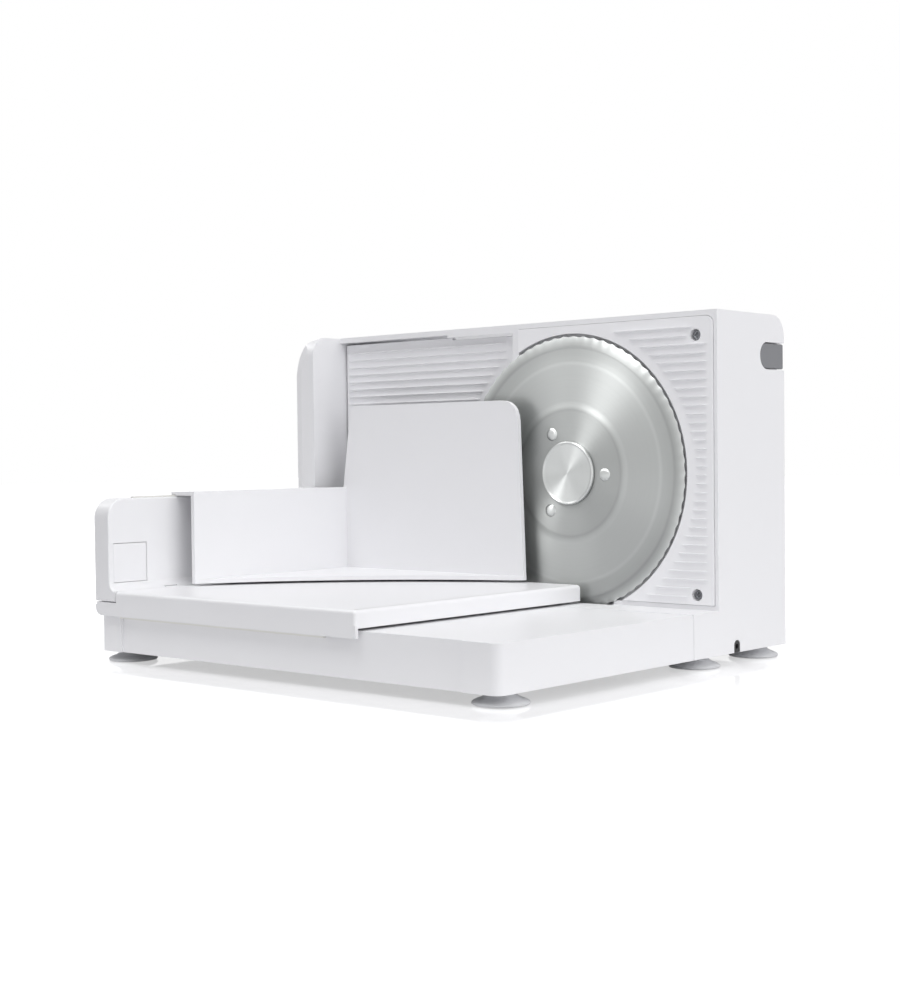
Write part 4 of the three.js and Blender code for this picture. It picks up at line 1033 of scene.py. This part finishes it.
@dataclass
class Housing:
    """The white shell with its covers, ribbed panel, screws, scale and what is inside."""

    slicer: Slicer
    edge_mm: float = 1.6
    cover_edge_mm: float = 0.5
    smooth_under: float = 17.0
    deck_mm: float = 26.0
    face_mm: float = 26.4
    panel_recess_x: float = 0.015
    bay_end_x: float = 0.0142
    panel_edge_mm: float = 0.45
    opening_steps: int = 150
    corner_steps: int = 12
    panel_corner_mm: float = 5.0
    opening_margin_mm: float = 5.6
    panel_side_margin_mm: float = 3.7
    panel_left_margin_mm: float = 4.0
    first_rib_mm: float = 4.6
    shortest_rib_mm: float = 4.0
    well_radius_mm: float = 3.6
    well_clear_mm: float = 5.2
    well_in_mm: float = 11.6
    well_up_mm: float = 5.8
    well_down_mm: float = 10.9
    well_sides: int = 48
    screw_edge_mm: float = 0.35
    ticks: int = 16
    first_tick: float = -150.0
    tick_turn: float = 20.0
    tick_inner_mm: float = 20.4
    long_tick_mm: Pair = (25.0, 0.45)
    short_tick_mm: Pair = (23.2, 0.3)
    print_mm: Pair = (-0.1, 0.12)

    def build(self) -> None:
        """Builds every piece that stays with the housing."""
        self.shell()
        self.panel()
        self.covers()
        self.screws()
        self.scale()
        slicer = self.slicer
        slicer.keep("bronze", "shaft_bush_front", "shaft_bush_rear")
        slicer.keep("zinc", "motor", "motor_bracket", "hinge_pin_left", "hinge_pin_right")
        slicer.keep("dark", "switch_body")
        slicer.keep("dark_rubber", "cord_grommet")

    def shell(self) -> None:
        """Rounds the outer edges of the one-piece housing moulding."""
        low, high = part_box("housing_shell")
        deck, face = low.z + self.deck_mm * MM, low.y + self.face_mm * MM
        planes = ((0, low.x), (0, high.x), (1, low.y), (1, face), (1, high.y))
        planes += ((2, high.z), (2, deck), (2, low.z))
        on_deck, behind = (low.x, low.y, deck), (low.x, high.y, deck)
        recess = (self.panel_recess_x, face, deck)
        spare = (
            # The switch's opening
            between(high, (-6, -29, -35), high, (1, 1, -15)),
            # The recess of the face panel
            between(recess, (0, -1, 1), (high.x, face, high.z), (-2.6, 1, -3)),
            # The bay of the fence beside the tower
            between(on_deck, (21, 3, 1), (self.bay_end_x, high.y, high.z), (0, -2, 1)),
            # The knuckles of the hinge below the deck
            between(on_deck, (0, -1, -6), (high.x, low.y, deck), (0, 3, -0.1)),
            # The underside within its rim
            between(low, (2, 2, -1), (high.x, high.y, low.z), (-2, -2, 1)),
            # The openings of the rear covers
            between(behind, (2, -1, 3), high, (-2, 1, -12)),
        )
        rounding = Rounding(self.edge_mm, planes, spare, smooth_under=self.smooth_under)
        self.slicer.round_off(
            "housing_shell", "housing_moulding", "housing", Slot.WHITE, "white", rounding
        )

    def panel(self) -> None:
        """Builds the ribbed face panel round the blade, with its screw wells."""
        low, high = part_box("face_panel")
        face = low.y + CAD_RIB_MM * MM
        axis = (BLADE_AXIS.x, BLADE_AXIS.z)
        radius = OPENING_MM * MM
        below, left = axis[1] - low.z, axis[0] - low.x
        first = math.degrees(math.acos(-left / radius))
        last = -math.degrees(math.asin(below / radius))
        corner = self.panel_corner_mm * MM
        middle = (high.x - corner, high.z - corner)
        bend = arc(middle, corner, 0, 90, self.corner_steps)
        outer = arc(axis, radius, first, last, self.opening_steps)
        outer += [(high.x, low.z), *bend, (low.x, high.z)]
        heights = (low.z + self.well_up_mm * MM, high.z - self.well_down_mm * MM)
        wells = [(high.x - self.well_in_mm * MM, z) for z in heights]
        well, sides = self.well_radius_mm * MM, self.well_sides
        holes = [arc(at, well, 0, 360 - 360 / sides, sides - 1) for at in wells]
        plate = sheet("face_panel_moulding", [outer, *holes], face, high.y, self.panel_edge_mm)
        cups = [self.cup(f"well_{i}", at, face, high.y) for i, at in enumerate(wells)]
        rows = self.panel_rows(low, high, wells)
        ribs = Ribs().on_face(self.slicer, "face_panel_ribs", face, rows, "panel")
        join_into(plate, ribs, *cups)
        self.slicer.hand_over(plate, "housing", Slot.LIGHT_GREY, "panel", "face_panel")

    def cup(self, name: str, at: Pair, face: float, back: float) -> bpy.types.Object:
        """Turns the cup of a screw well: a short tube with a floor that the screw holds.

        Args:
            name: the cup's name.
            at: its axis, X and Z.
            face: where the panel's face is.
            back: where the panel's back is.

        Returns:
            The cup.
        """
        wall_mm, rim_mm, foot_mm, floor_mm, bore_mm, draft_mm = 1.2, 1.5, 0.05, 0.3, 2.3, 0.01
        well, rim = self.well_radius_mm * MM, face + rim_mm * MM
        foot, floor = back - foot_mm * MM, back - floor_mm * MM
        tube = [(well, rim), (well + wall_mm * MM, rim), (well + wall_mm * MM, foot)]
        tube += [(bore_mm * MM, foot), (bore_mm * MM, floor), (well - draft_mm * MM, floor)]
        tube.append(tube[0])
        return link_mesh(name, lathe(name, tube, Vector((at[0], 0, at[1])), self.well_sides))

    def panel_rows(self, low: Vector, high: Vector, wells: Sequence[Pair]) -> list[Triple]:
        """Lists the panel's ribs, which stop short of its opening, its rims and its wells.

        Args:
            low: the panel's lowest corner.
            high: its highest corner.
            wells: the axes of the screw wells, X and Z.

        Returns:
            For each rib its height and its two ends.
        """
        reach = (OPENING_MM + self.opening_margin_mm) * MM
        start = low.x + self.panel_left_margin_mm * MM
        clear, shortest = self.well_clear_mm * MM, self.shortest_rib_mm * MM
        rows: list[Triple] = []
        z = low.z + self.first_rib_mm * MM
        while z < high.z - shortest:
            inner = half_chord(reach, z)
            begin = max(start, BLADE_AXIS.x + inner) if inner else start
            end = high.x - self.panel_side_margin_mm * MM
            for at in wells:
                near = abs(z - at[1])
                if near < clear:
                    end = min(end, at[0] - math.sqrt(clear**2 - near**2))
            if end - begin > shortest:
                rows.append((z, begin, end))
            z += Ribs.pitch_mm * MM
        return rows

    def covers(self) -> None:
        """Rounds the rear covers and the bottom cover a little."""
        for name, slot, finish in (
            ("motor_cover", Slot.WHITE, "white"),
            ("dial_cover", Slot.WHITE, "white"),
            ("bottom_cover", Slot.LIGHT_GREY, "panel"),
        ):
            low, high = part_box(name)
            outside = (2, low.z) if name == "bottom_cover" else (1, high.y)
            rounding = Rounding(self.cover_edge_mm, (outside,))
            self.slicer.round_off(name, f"{name}_moulding", "housing", slot, finish, rounding)

    def screw_model(self) -> bpy.types.Mesh:
        """Copies a panel screw about the origin, with its head's rim rounded.

        Returns:
            The screw: a pan head with a cross recess, which faces the front.
        """
        name = "panel_screw_top"
        low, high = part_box(name)
        rounding = Rounding(self.screw_edge_mm, ((1, low.y),))
        piece = moulding("screw_model", self.slicer.node(name), rounding)
        mesh = piece.data
        bpy.data.objects.remove(piece)
        head = Vector(((low.x + high.x) / 2, low.y, (low.z + high.z) / 2))
        mesh.transform(Matrix.Translation(-head))
        return mesh

    def screws(self) -> None:
        """Sets all screws from one model."""
        front = ["panel_screw_top", "panel_screw_bottom"]
        back = [f"{cover}_cover_screw_{i}" for cover in ("motor", "dial") for i in range(1, 5)]
        under = [f"bottom_cover_screw_{i}" for i in range(1, 5)]
        for name, finish, groups in (
            # The panel screws' dark grey is partly painted shade of their wells
            ("panel_screws", "grey_screw", {Side.FRONT: front}),
            ("cover_screws", "zinc", {Side.BACK: back, Side.UNDER: under}),
        ):
            turned = {node: side for side, nodes in groups.items() for node in nodes}
            places = [(self.head_of(node, side), side) for node, side in turned.items()]
            piece = self.slicer.repeat(name, self.screw_model(), finish, places)
            self.slicer.hand_over(piece, "housing", Slot.ZINC, None, *turned)

    @staticmethod
    def head_of(node: str, side: Side) -> Vector:
        """Finds the middle of a screw's outer face.

        Args:
            node: the screw's CAD node.
            side: the way its head faces.

        Returns:
            The point.
        """
        low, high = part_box(node)
        middle = (low + high) / 2
        if side is Side.FRONT:
            middle.y = low.y
        elif side is Side.BACK:
            middle.y = high.y
        else:
            middle.z = low.z
        return middle

    def scale(self) -> None:
        """Prints a generic scale round the knob: a tick for every millimetre of slice."""
        _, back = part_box("dial_cover")
        points: list[Triple] = []
        faces: list[tuple[int, ...]] = []
        for step in range(self.ticks):
            turn = math.radians(self.first_tick + step * self.tick_turn)
            outer, half = self.short_tick_mm if step % 5 else self.long_tick_mm
            inner = self.tick_inner_mm
            across = Vector((math.cos(turn), 0, -math.sin(turn)))
            out = Vector((math.sin(turn), 0, math.cos(turn)))
            faces += [tuple(len(points) + i for i in face) for face in BOX_FACES]
            for off_mm in self.print_mm:
                for reach, side in ((inner, -half), (outer, -half), (outer, half), (inner, half)):
                    place = KNOB_AXIS + out * reach * MM + across * side * MM
                    points.append((place.x, back.y + off_mm * MM, place.z))
        piece = link_mesh("dial_scale", mesh_from("dial_scale", points, faces))
        self.slicer.hand_over(piece, "housing", Slot.GREY, "ink")


# Profiles to turn: radius and place along the axis, in millimetres
FOOT_PROFILE = (
    (0.0, 0.0), (11.5, 0.0), (12.2, 0.35), (13.9, 0.35), (14.6, 0.5), (14.95, 1.0), (14.85, 1.7),
    (14.2, 2.3), (12.6, 3.0), (10.6, 3.7), (9.0, 4.6), (8.0, 5.6), (7.4, 6.7), (4.0, 6.7),
    (4.0, 11.7), (0.0, 11.7),
)
HUB_PROFILE = (
    (0.0, -1.75), (17.6, -1.75), (18.1, -1.85), (18.5, -2.15), (18.9, -2.3), (19.3, -2.2),
    (19.6, -1.9), (19.8, -1.5), (19.8, -0.45), (19.65, -0.3), (6.4, -0.3), (6.4, -0.9), (0.0, -0.9),
)
RIVET_PROFILE = (
    (0.0, -1.2), (1.4, -1.15), (2.5, -0.98), (3.3, -0.7), (3.8, -0.35), (4.0, 0.0), (1.9, 0.0),
    (1.9, 4.5), (0.0, 4.5),
)


@dataclass
class Feet:
    """Round rubber feet on the housing and on the table: a flared pad on a short stem."""

    slicer: Slicer
    sides: int = 56

    def build(self) -> None:
        """Sets the feet on their two bodies."""
        for body, names in (
            ("housing", ("seam_right", "seam_left", "rear_right", "rear_left")),
            ("table", ("front_right", "front_left")),
        ):
            nodes = ["foot_" + name for name in names]
            places = []
            for node in nodes:
                low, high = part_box(node)
                places.append((((low.x + high.x) / 2, (low.y + high.y) / 2, 0.0), Side.FRONT))
            model = lathe("foot_model", metres(FOOT_PROFILE), Vector((0, 0, 0)), self.sides)
            model.transform(Matrix.Rotation(math.pi / 2, 4, "X"))
            piece = self.slicer.repeat(f"{body}_feet", model, "rubber", places)
            self.slicer.hand_over(piece, body, Slot.RUBBER, None, *nodes)


# Rings of the blade's front face between its bore and its teeth, as radii in millimetres
BLADE_RINGS = (
    19.0, 30.0, 38.0, 38.5, 39.5, 40.5, 41.5, 42.5, 43.5, 44.5, 45.0, 55.0, 67.6, 68.0, 68.6, 70.0,
    71.5, 73.0, 74.5, 76.0, 77.6, 78.0, 78.4, 80.0, 82.0, 83.5, 84.0,
)


@dataclass
class Cutter:
    """The blade with its hub, rivets, shaft and gear, in millimetres about the blade's axis."""

    slicer: Slicer
    teeth: int = 70
    steps_per_tooth: int = 10
    radius: float = 85.0
    bore: float = 6.3
    back_ring: float = 43.0
    thickness: float = 1.8
    edge_land: float = 0.15
    tooth_depth: float = 0.75
    tooth_sharpness: float = 0.7
    dish_start: float = 38.5
    dish_end: float = 44.5
    dish_depth: float = 0.6
    hollow_start: float = 68.0
    hollow_depth: float = 0.16
    grind_start: float = 78.0
    grind_depth: float = 0.8
    scallop_depth: float = 0.25
    smooth_under: float = 25.0
    rivet_gap: float = 0.02
    hub_sides: int = 112
    rivet_sides: int = 40

    def front(self, radius: float, wave: float) -> float:
        """Gives the blade's front face at a radius.

        Args:
            radius: the distance from the axis.
            wave: 0 at a tooth's tip and 1 between two teeth.

        Returns:
            How far the face lies behind the blade's foremost plane.
        """
        if radius <= self.dish_start:
            return 0.0
        if radius <= self.dish_end:
            share = (radius - self.dish_start) / (self.dish_end - self.dish_start)
            return self.dish_depth * (1 - math.cos(math.pi * share)) / 2
        if radius <= self.hollow_start:
            return self.dish_depth
        if radius <= self.grind_start:
            share = (radius - self.hollow_start) / (self.grind_start - self.hollow_start)
            return self.dish_depth + self.hollow_depth * math.sin(math.pi * share)
        share = (radius - self.grind_start) / (self.radius - self.grind_start)
        scallop = self.scallop_depth * wave * share**2
        return self.dish_depth + self.grind_depth * share + scallop

    def blade(self) -> None:
        """Builds the scalloped blade as one closed mesh."""
        around = self.teeth * self.steps_per_tooth
        back = self.thickness
        points: list[Vector] = []
        faces: list[tuple[int, ...]] = []
        for step in range(around):
            angle = step * math.tau / around
            wave = (1 - math.cos(self.teeth * angle)) / 2
            column = [(r, self.front(r, wave)) for r in (self.bore, *BLADE_RINGS)]
            rim = self.radius - self.tooth_depth * wave**self.tooth_sharpness
            column.append((rim, min(self.front(rim, wave), back - self.edge_land)))
            column += [(rim, back), (self.back_ring, back), (self.bore, back)]
            for r, y in column:
                arm = Vector((r * math.cos(angle), y, r * math.sin(angle))) * MM
                points.append(BLADE_AXIS + arm)
        rows = len(points) // around
        for step in range(around):
            here, after = step * rows, ((step + 1) % around) * rows
            for row in range(rows):
                up = (row + 1) % rows
                faces.append((here + row, after + row, after + up, here + up))
        mesh = mesh_from("blade_disc", points, faces)
        smooth(mesh, self.smooth_under)
        self.slicer.hand_over(link_mesh("blade_disc", mesh), "cutter", Slot.STEEL, "blade", "blade")

    def hub(self) -> None:
        """Turns the bare hub button with its raised rim."""
        mesh = lathe("hub_button", metres(HUB_PROFILE), BLADE_AXIS, self.hub_sides)
        self.slicer.hand_over(link_mesh("hub_button", mesh), "cutter", Slot.STEEL, "cap", "hub_cap")

    def rivets(self) -> None:
        """Sets the domed rivets round the hub."""
        mesh = lathe("rivet_model", metres(RIVET_PROFILE), Vector((0, 0, 0)), self.rivet_sides)
        front = BLADE_AXIS.y - self.rivet_gap * MM
        places = []
        nodes = [f"blade_rivet_{i}" for i in range(1, 4)]
        for node in nodes:
            low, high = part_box(node)
            places.append((((low.x + high.x) / 2, front, (low.z + high.z) / 2), Side.FRONT))
        piece = self.slicer.repeat("blade_rivets", mesh, "cap", places)
        self.slicer.hand_over(piece, "cutter", Slot.STEEL, None, *nodes)

    def build(self) -> None:
        """Builds the blade's pieces and dresses its shaft and gear."""
        self.blade()
        self.hub()
        self.rivets()
        self.slicer.keep("zinc", "blade_shaft", "worm_shaft")
        self.slicer.keep("nylon", "drive_gear")


@dataclass
class Fence:
    """The ribbed thickness plate with its carrier and rods."""

    slicer: Slicer
    edge_mm: float = 0.45
    opening_steps: int = 120
    step_in_mm: float = 54.8
    step_drop_mm: float = 1.6
    first_rib_mm: float = 6.0
    last_rib_mm: float = 4.0
    right_margin_mm: float = 8.0
    left_margin_mm: float = 2.0
    opening_reach_mm: float = 92.0

    def build(self) -> None:
        """Builds the plate and dresses what carries it."""
        low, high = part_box("fence_plate")
        face = low.y + CAD_RIB_MM * MM
        axis = (BLADE_AXIS.x, BLADE_AXIS.z)
        radius = OPENING_MM * MM
        step_x, step_z = high.x - self.step_in_mm * MM, high.z - self.step_drop_mm * MM
        over = math.degrees(math.acos((high.x - axis[0]) / radius))
        opening = arc(axis, radius, over, 360 - over, self.opening_steps)
        outer = [(low.x, low.z), (low.x, high.z), (step_x, high.z), (step_x, step_z)]
        outer += [(high.x, step_z), *opening, (high.x, low.z)]
        plate = sheet("fence_moulding", [outer], face, high.y, self.edge_mm)
        rows: list[Triple] = []
        z = high.z - self.first_rib_mm * MM
        while z > low.z + self.last_rib_mm * MM:
            clear = axis[0] - half_chord(self.opening_reach_mm * MM, z)
            end = min(high.x - self.right_margin_mm * MM, clear)
            rows.append((z, low.x + self.left_margin_mm * MM, end))
            z -= Ribs.pitch_mm * MM
        join_into(plate, Ribs().on_face(self.slicer, "fence_ribs", face, rows, "panel"))
        self.slicer.hand_over(plate, "fence", Slot.LIGHT_GREY, "panel", "fence_plate")
        self.slicer.keep("nylon", "fence_carrier")
        self.slicer.keep("zinc", "fence_rod_lower", "fence_rod_upper")


@dataclass
class Controls:
    """The thickness knob and the side switch."""

    slicer: Slicer
    knob_edge_mm: float = 0.8
    knob_rim_mm: float = 1.0
    button_edge_mm: float = 0.9

    def build(self) -> None:
        """Builds the knob and the button."""
        slicer = self.slicer
        _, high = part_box("thickness_knob")
        planes = ((1, high.y - self.knob_rim_mm * MM), (1, high.y))
        edges = Rounding(self.knob_edge_mm, planes, steps=4)
        slicer.round_off("thickness_knob", "knob_moulding", "knob", Slot.GREY, "grey", edges)
        slicer.keep("nylon", "cam_drum")
        _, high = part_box("switch_button")
        edges = Rounding(self.button_edge_mm, ((0, high.x), (1, high.y)), steps=4)
        slicer.round_off("switch_button", "switch_moulding", "switch", Slot.GREY, "grey", edges)


@dataclass
class Table:
    """The folding table and the runner in its front recess."""

    slicer: Slicer
    edge_mm: float = 1.1

    def build(self) -> None:
        """Rounds the table and dresses the runner."""
        low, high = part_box("table")
        planes = ((0, low.x), (0, high.x), (1, low.y), (2, high.z), (2, low.z))
        spare = (
            # The round rear edge with the notches for the hinge
            between((low.x, high.y, low.z), (-1, -9, 1), high, (1, 1, 1)),
            # The underside within its rim
            between(low, (2, 2.2, -1), (high.x, high.y, low.z), (-2, -1, 1)),
        )
        rounding = Rounding(self.edge_mm, planes, spare)
        self.slicer.round_off("table", "table_moulding", "table", Slot.WHITE, "white", rounding)
        self.slicer.keep("nylon", "carriage_runner")


@dataclass
class Carriage:
    """The sliding carriage, its folding wall with the latch, and the pusher."""

    slicer: Slicer
    edge_mm: float = 2.4
    top_mm: float = 15.3
    wall_edge_mm: float = 1.0
    wall_inner_mm: float = 14.2
    latch_edge_mm: float = 0.4
    pusher_edge_mm: float = 0.9
    pusher_plate_mm: float = 3.0
    pusher_hook_mm: float = 58.0
    pusher_floor_mm: float = 2.7
    pusher_smooth_under: float = 14.0

    def build(self) -> None:
        """Builds the carriage's pieces."""
        self.plate()
        self.wall()
        self.pusher()

    def plate(self) -> None:
        """Rounds the top of the carriage and dresses the wall's pin."""
        low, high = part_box("carriage_plate")
        top = low.z + self.top_mm * MM
        # The seam and the ears under the folding wall stay sharp
        seam = between((low.x, low.y, top), (-1, 2, -7), (low.x, high.y, top), (22.4, 0, 1))
        edges = Rounding(self.edge_mm, ((2, top),), (seam,), 5, clamp=False)
        self.slicer.round_off(
            "carriage_plate", "carriage_moulding", "carriage", Slot.WHITE, "white", edges
        )
        self.slicer.keep("zinc", "wall_pin")

    def wall(self) -> None:
        """Rounds the side wall and its latch."""
        low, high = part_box("carriage_wall")
        planes = ((0, low.x), (0, low.x + self.wall_inner_mm * MM))
        planes += ((1, low.y), (1, high.y), (2, high.z))
        over, front = (low.x, low.y, high.z), (high.x, low.y, high.z)
        spare = (
            # The latch's window in the inner face
            between(low, (8, 3, 7), front, (0, 32, -24)),
            # The groove for the rail in the top
            between(over, (8, 15, -8), (low.x, high.y, high.z), (13.6, -2, 1)),
        )
        edges = Rounding(self.wall_edge_mm, planes, spare)
        self.slicer.round_off(
            "carriage_wall", "side_wall_moulding", "wall", Slot.WHITE, "white", edges
        )
        _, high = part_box("wall_latch")
        edges = Rounding(self.latch_edge_mm, ((0, high.x),))
        self.slicer.round_off("wall_latch", "latch_moulding", "latch", Slot.WHITE, "white", edges)

    def pusher(self) -> None:
        """Rounds the pusher and dresses its rail."""
        self.slicer.keep("nylon", "pusher_rail")
        low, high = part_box("pusher")
        planes = ((0, low.x), (1, low.y), (1, high.y), (1, high.y - self.pusher_plate_mm * MM))
        heights = (high.z, low.z + self.pusher_hook_mm * MM, low.z + self.pusher_floor_mm * MM)
        planes += tuple((2, z) for z in heights)
        edges = Rounding(
            self.pusher_edge_mm, planes, steps=4, smooth_under=self.pusher_smooth_under
        )
        self.slicer.round_off("pusher", "pusher_moulding", "pusher", Slot.WHITE, "white", edges)


@dataclass(frozen=True)
class Lamp:
    """A square soft lamp, in metres and watts. A streak shows only in what is glossy."""

    name: str
    place: Triple
    size: float
    power: float
    streak: bool = False
    aim: Triple = (0.0, 0.0, 0.1)

    def hang(self) -> None:
        """Hangs the lamp so that it points at the slicer."""
        data = bpy.data.lights.new(self.name, "AREA")
        data.size = self.size
        data.energy = self.power
        lamp = bpy.data.objects.new(self.name, data)
        place = Vector(self.place)
        turn = (Vector(self.aim) - place).normalized().to_track_quat("-Z", "Y")
        lamp.matrix_world = Matrix.Translation(place) @ turn.to_matrix().to_4x4()
        lamp.visible_diffuse = not self.streak
        bpy.context.scene.collection.objects.link(lamp)


@dataclass
class Studio:
    """The floor, the lamps, the world and the camera at the photograph's place."""

    camera_mm: Triple = (672.5, -749.9, 126.3)
    yaw: float = 41.65
    pitch: float = -1.64
    roll: float = -0.676
    lens: float = 58.51
    sensor: float = 36.0
    clip_start: float = 0.02
    floor_half: float = 6.0
    floor_gloss: float = 0.33
    floor_glow: float = 0.72
    mirror_roughness: float = 0.03
    footprint_mm: Triple = (165.0, 146.0, 0.0)
    glow_reach_mm: Pair = (60.0, 420.0)
    mirror_fade_mm: Pair = (15.0, 95.0)
    world_light: float = 0.45
    lamps: tuple[Lamp, ...] = (
        Lamp("top", (0.0, -0.6, 1.75), 1.2, 13.5),
        Lamp("side", (1.9, 0.05, 0.85), 2.0, 20.0),
        Lamp("steel_streak_right", (-0.3, -1.2, 1.3), 0.5, 15.0, True),
        Lamp("steel_streak_left", (-1.15, -0.53, 1.2), 0.5, 5.0, True),
    )

    def build(self) -> None:
        """Sets the camera, the floor, the world and the lamps."""
        self.camera()
        self.floor()
        self.world()
        for lamp in self.lamps:
            lamp.hang()
        bpy.context.scene.view_settings.view_transform = "Standard"

    def camera(self) -> None:
        """Places the camera that the photograph gives."""
        yaw, pitch, roll = (math.radians(a) for a in (self.yaw, self.pitch, self.roll))
        ahead = Vector(
            (-math.sin(yaw) * math.cos(pitch), math.cos(yaw) * math.cos(pitch), math.sin(pitch))
        )
        flat_right = ahead.cross(Vector((0, 0, 1))).normalized()
        flat_up = flat_right.cross(ahead)
        right = math.cos(roll) * flat_right + math.sin(roll) * flat_up
        up = -math.sin(roll) * flat_right + math.cos(roll) * flat_up
        turn = Matrix((right, up, -ahead)).transposed().to_4x4()
        data = bpy.data.cameras.new("camera")
        data.lens = self.lens
        data.sensor_width = self.sensor
        data.clip_start = self.clip_start
        camera = bpy.data.objects.new("camera", data)
        camera.matrix_world = Matrix.Translation(Vector(self.camera_mm) * MM) @ turn
        bpy.context.scene.collection.objects.link(camera)
        bpy.context.scene.camera = camera

    def floor(self) -> None:
        """Lays a plain white floor that mirrors the slicer faintly where it stands."""
        half = self.floor_half
        mesh = bpy.data.meshes.new("floor")
        points = [(-half, -half, 0), (half, -half, 0), (half, half, 0), (-half, half, 0)]
        mesh.from_pydata(points, [], [(0, 1, 2, 3)])
        floor = link_mesh("floor", mesh)
        material, tree = new_material("white_acrylic_sheet")
        white = linear("#ffffff")
        plain = add_node(tree, "ShaderNodeBsdfDiffuse", {"Color": linear("#c4c4c6")})
        distance = self.distance_out(tree)
        # Far off the lamps light the floor less, so there its own glow carries the white.
        # The mirror image fades out round the slicer's footprint.
        level, share = (
            add_node(
                tree,
                "ShaderNodeMapRange",
                {
                    "Value": distance,
                    "From Min": reach[0] * MM,
                    "From Max": reach[1] * MM,
                    "To Min": near,
                    "To Max": far,
                },
                interpolation_type="SMOOTHSTEP",
            )
            for reach, near, far in (
                (self.glow_reach_mm, self.floor_glow, 1.0),
                (self.mirror_fade_mm, self.floor_gloss, 0.0),
            )
        )
        shown = {0: self.seen_rays(tree), 1: level}
        strength = add_node(tree, "ShaderNodeMath", shown, operation="MULTIPLY")
        glow = add_node(tree, "ShaderNodeEmission", {"Color": white, "Strength": strength})
        base = add_node(tree, "ShaderNodeAddShader", {0: plain, 1: glow})
        sheen = {"Color": white, "Roughness": self.mirror_roughness}
        mirror = add_node(tree, "ShaderNodeBsdfGlossy", sheen)
        gloss = add_node(tree, "ShaderNodeMixShader", {0: share, 1: base, 2: mirror})
        add_node(tree, "ShaderNodeOutputMaterial", {"Surface": gloss})
        dress(mesh, material)

    @staticmethod
    def seen_rays(tree: bpy.types.NodeTree) -> bpy.types.Node:
        """Gives 1 for rays that show the backdrop: straight, mirrored or through something.

        Args:
            tree: the tree.

        Returns:
            The node.
        """
        ray = add_node(tree, "ShaderNodeLightPath").outputs
        shown = {0: ray["Is Camera Ray"], 1: ray["Is Glossy Ray"]}
        either = add_node(tree, "ShaderNodeMath", shown, operation="MAXIMUM")
        every = {0: either, 1: ray["Is Transmission Ray"]}
        return add_node(tree, "ShaderNodeMath", every, operation="MAXIMUM")

    def distance_out(self, tree: bpy.types.NodeTree) -> bpy.types.NodeSocket:
        """Measures how far a point of the floor lies outside the slicer's footprint.

        Args:
            tree: the floor's tree.

        Returns:
            The socket with the distance, in metres.
        """
        vector = "ShaderNodeVectorMath"
        edge = tuple(mm * MM for mm in self.footprint_mm)
        place = add_node(tree, "ShaderNodeTexCoord").outputs["Object"]
        size = add_node(tree, vector, {0: place}, operation="ABSOLUTE")
        beyond = add_node(tree, vector, {0: size, 1: edge}, operation="SUBTRACT")
        outside = add_node(tree, vector, {0: beyond, 1: (0, 0, 0)}, operation="MAXIMUM")
        return add_node(tree, vector, {0: outside}, operation="LENGTH").outputs["Value"]

    def world(self) -> None:
        """Sets soft white light from all round, plain white where it is seen."""
        world = bpy.data.worlds.new("studio")
        bpy.context.scene.world = world
        world.use_nodes = True
        tree = world.node_tree
        tree.nodes.clear()
        lit, seen = (
            add_node(tree, "ShaderNodeBackground", {"Color": linear(code), "Strength": level})
            for code, level in (("#fbfbfd", self.world_light), ("#ffffff", 1.0))
        )
        mix = add_node(tree, "ShaderNodeMixShader", {0: self.seen_rays(tree), 1: lit, 2: seen})
        add_node(tree, "ShaderNodeOutputWorld", {"Surface": mix})


def main() -> None:
    """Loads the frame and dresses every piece."""
    logging.basicConfig(level=logging.INFO, format="%(message)s")
    for thing in list(bpy.data.objects):
        bpy.data.objects.remove(thing)
    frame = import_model()
    Studio().build()
    slicer = Slicer(frame)
    for part in (Housing, Feet, Cutter, Fence, Controls, Table, Carriage):
        part(slicer).build()


if __name__ == "__main__":
    main()
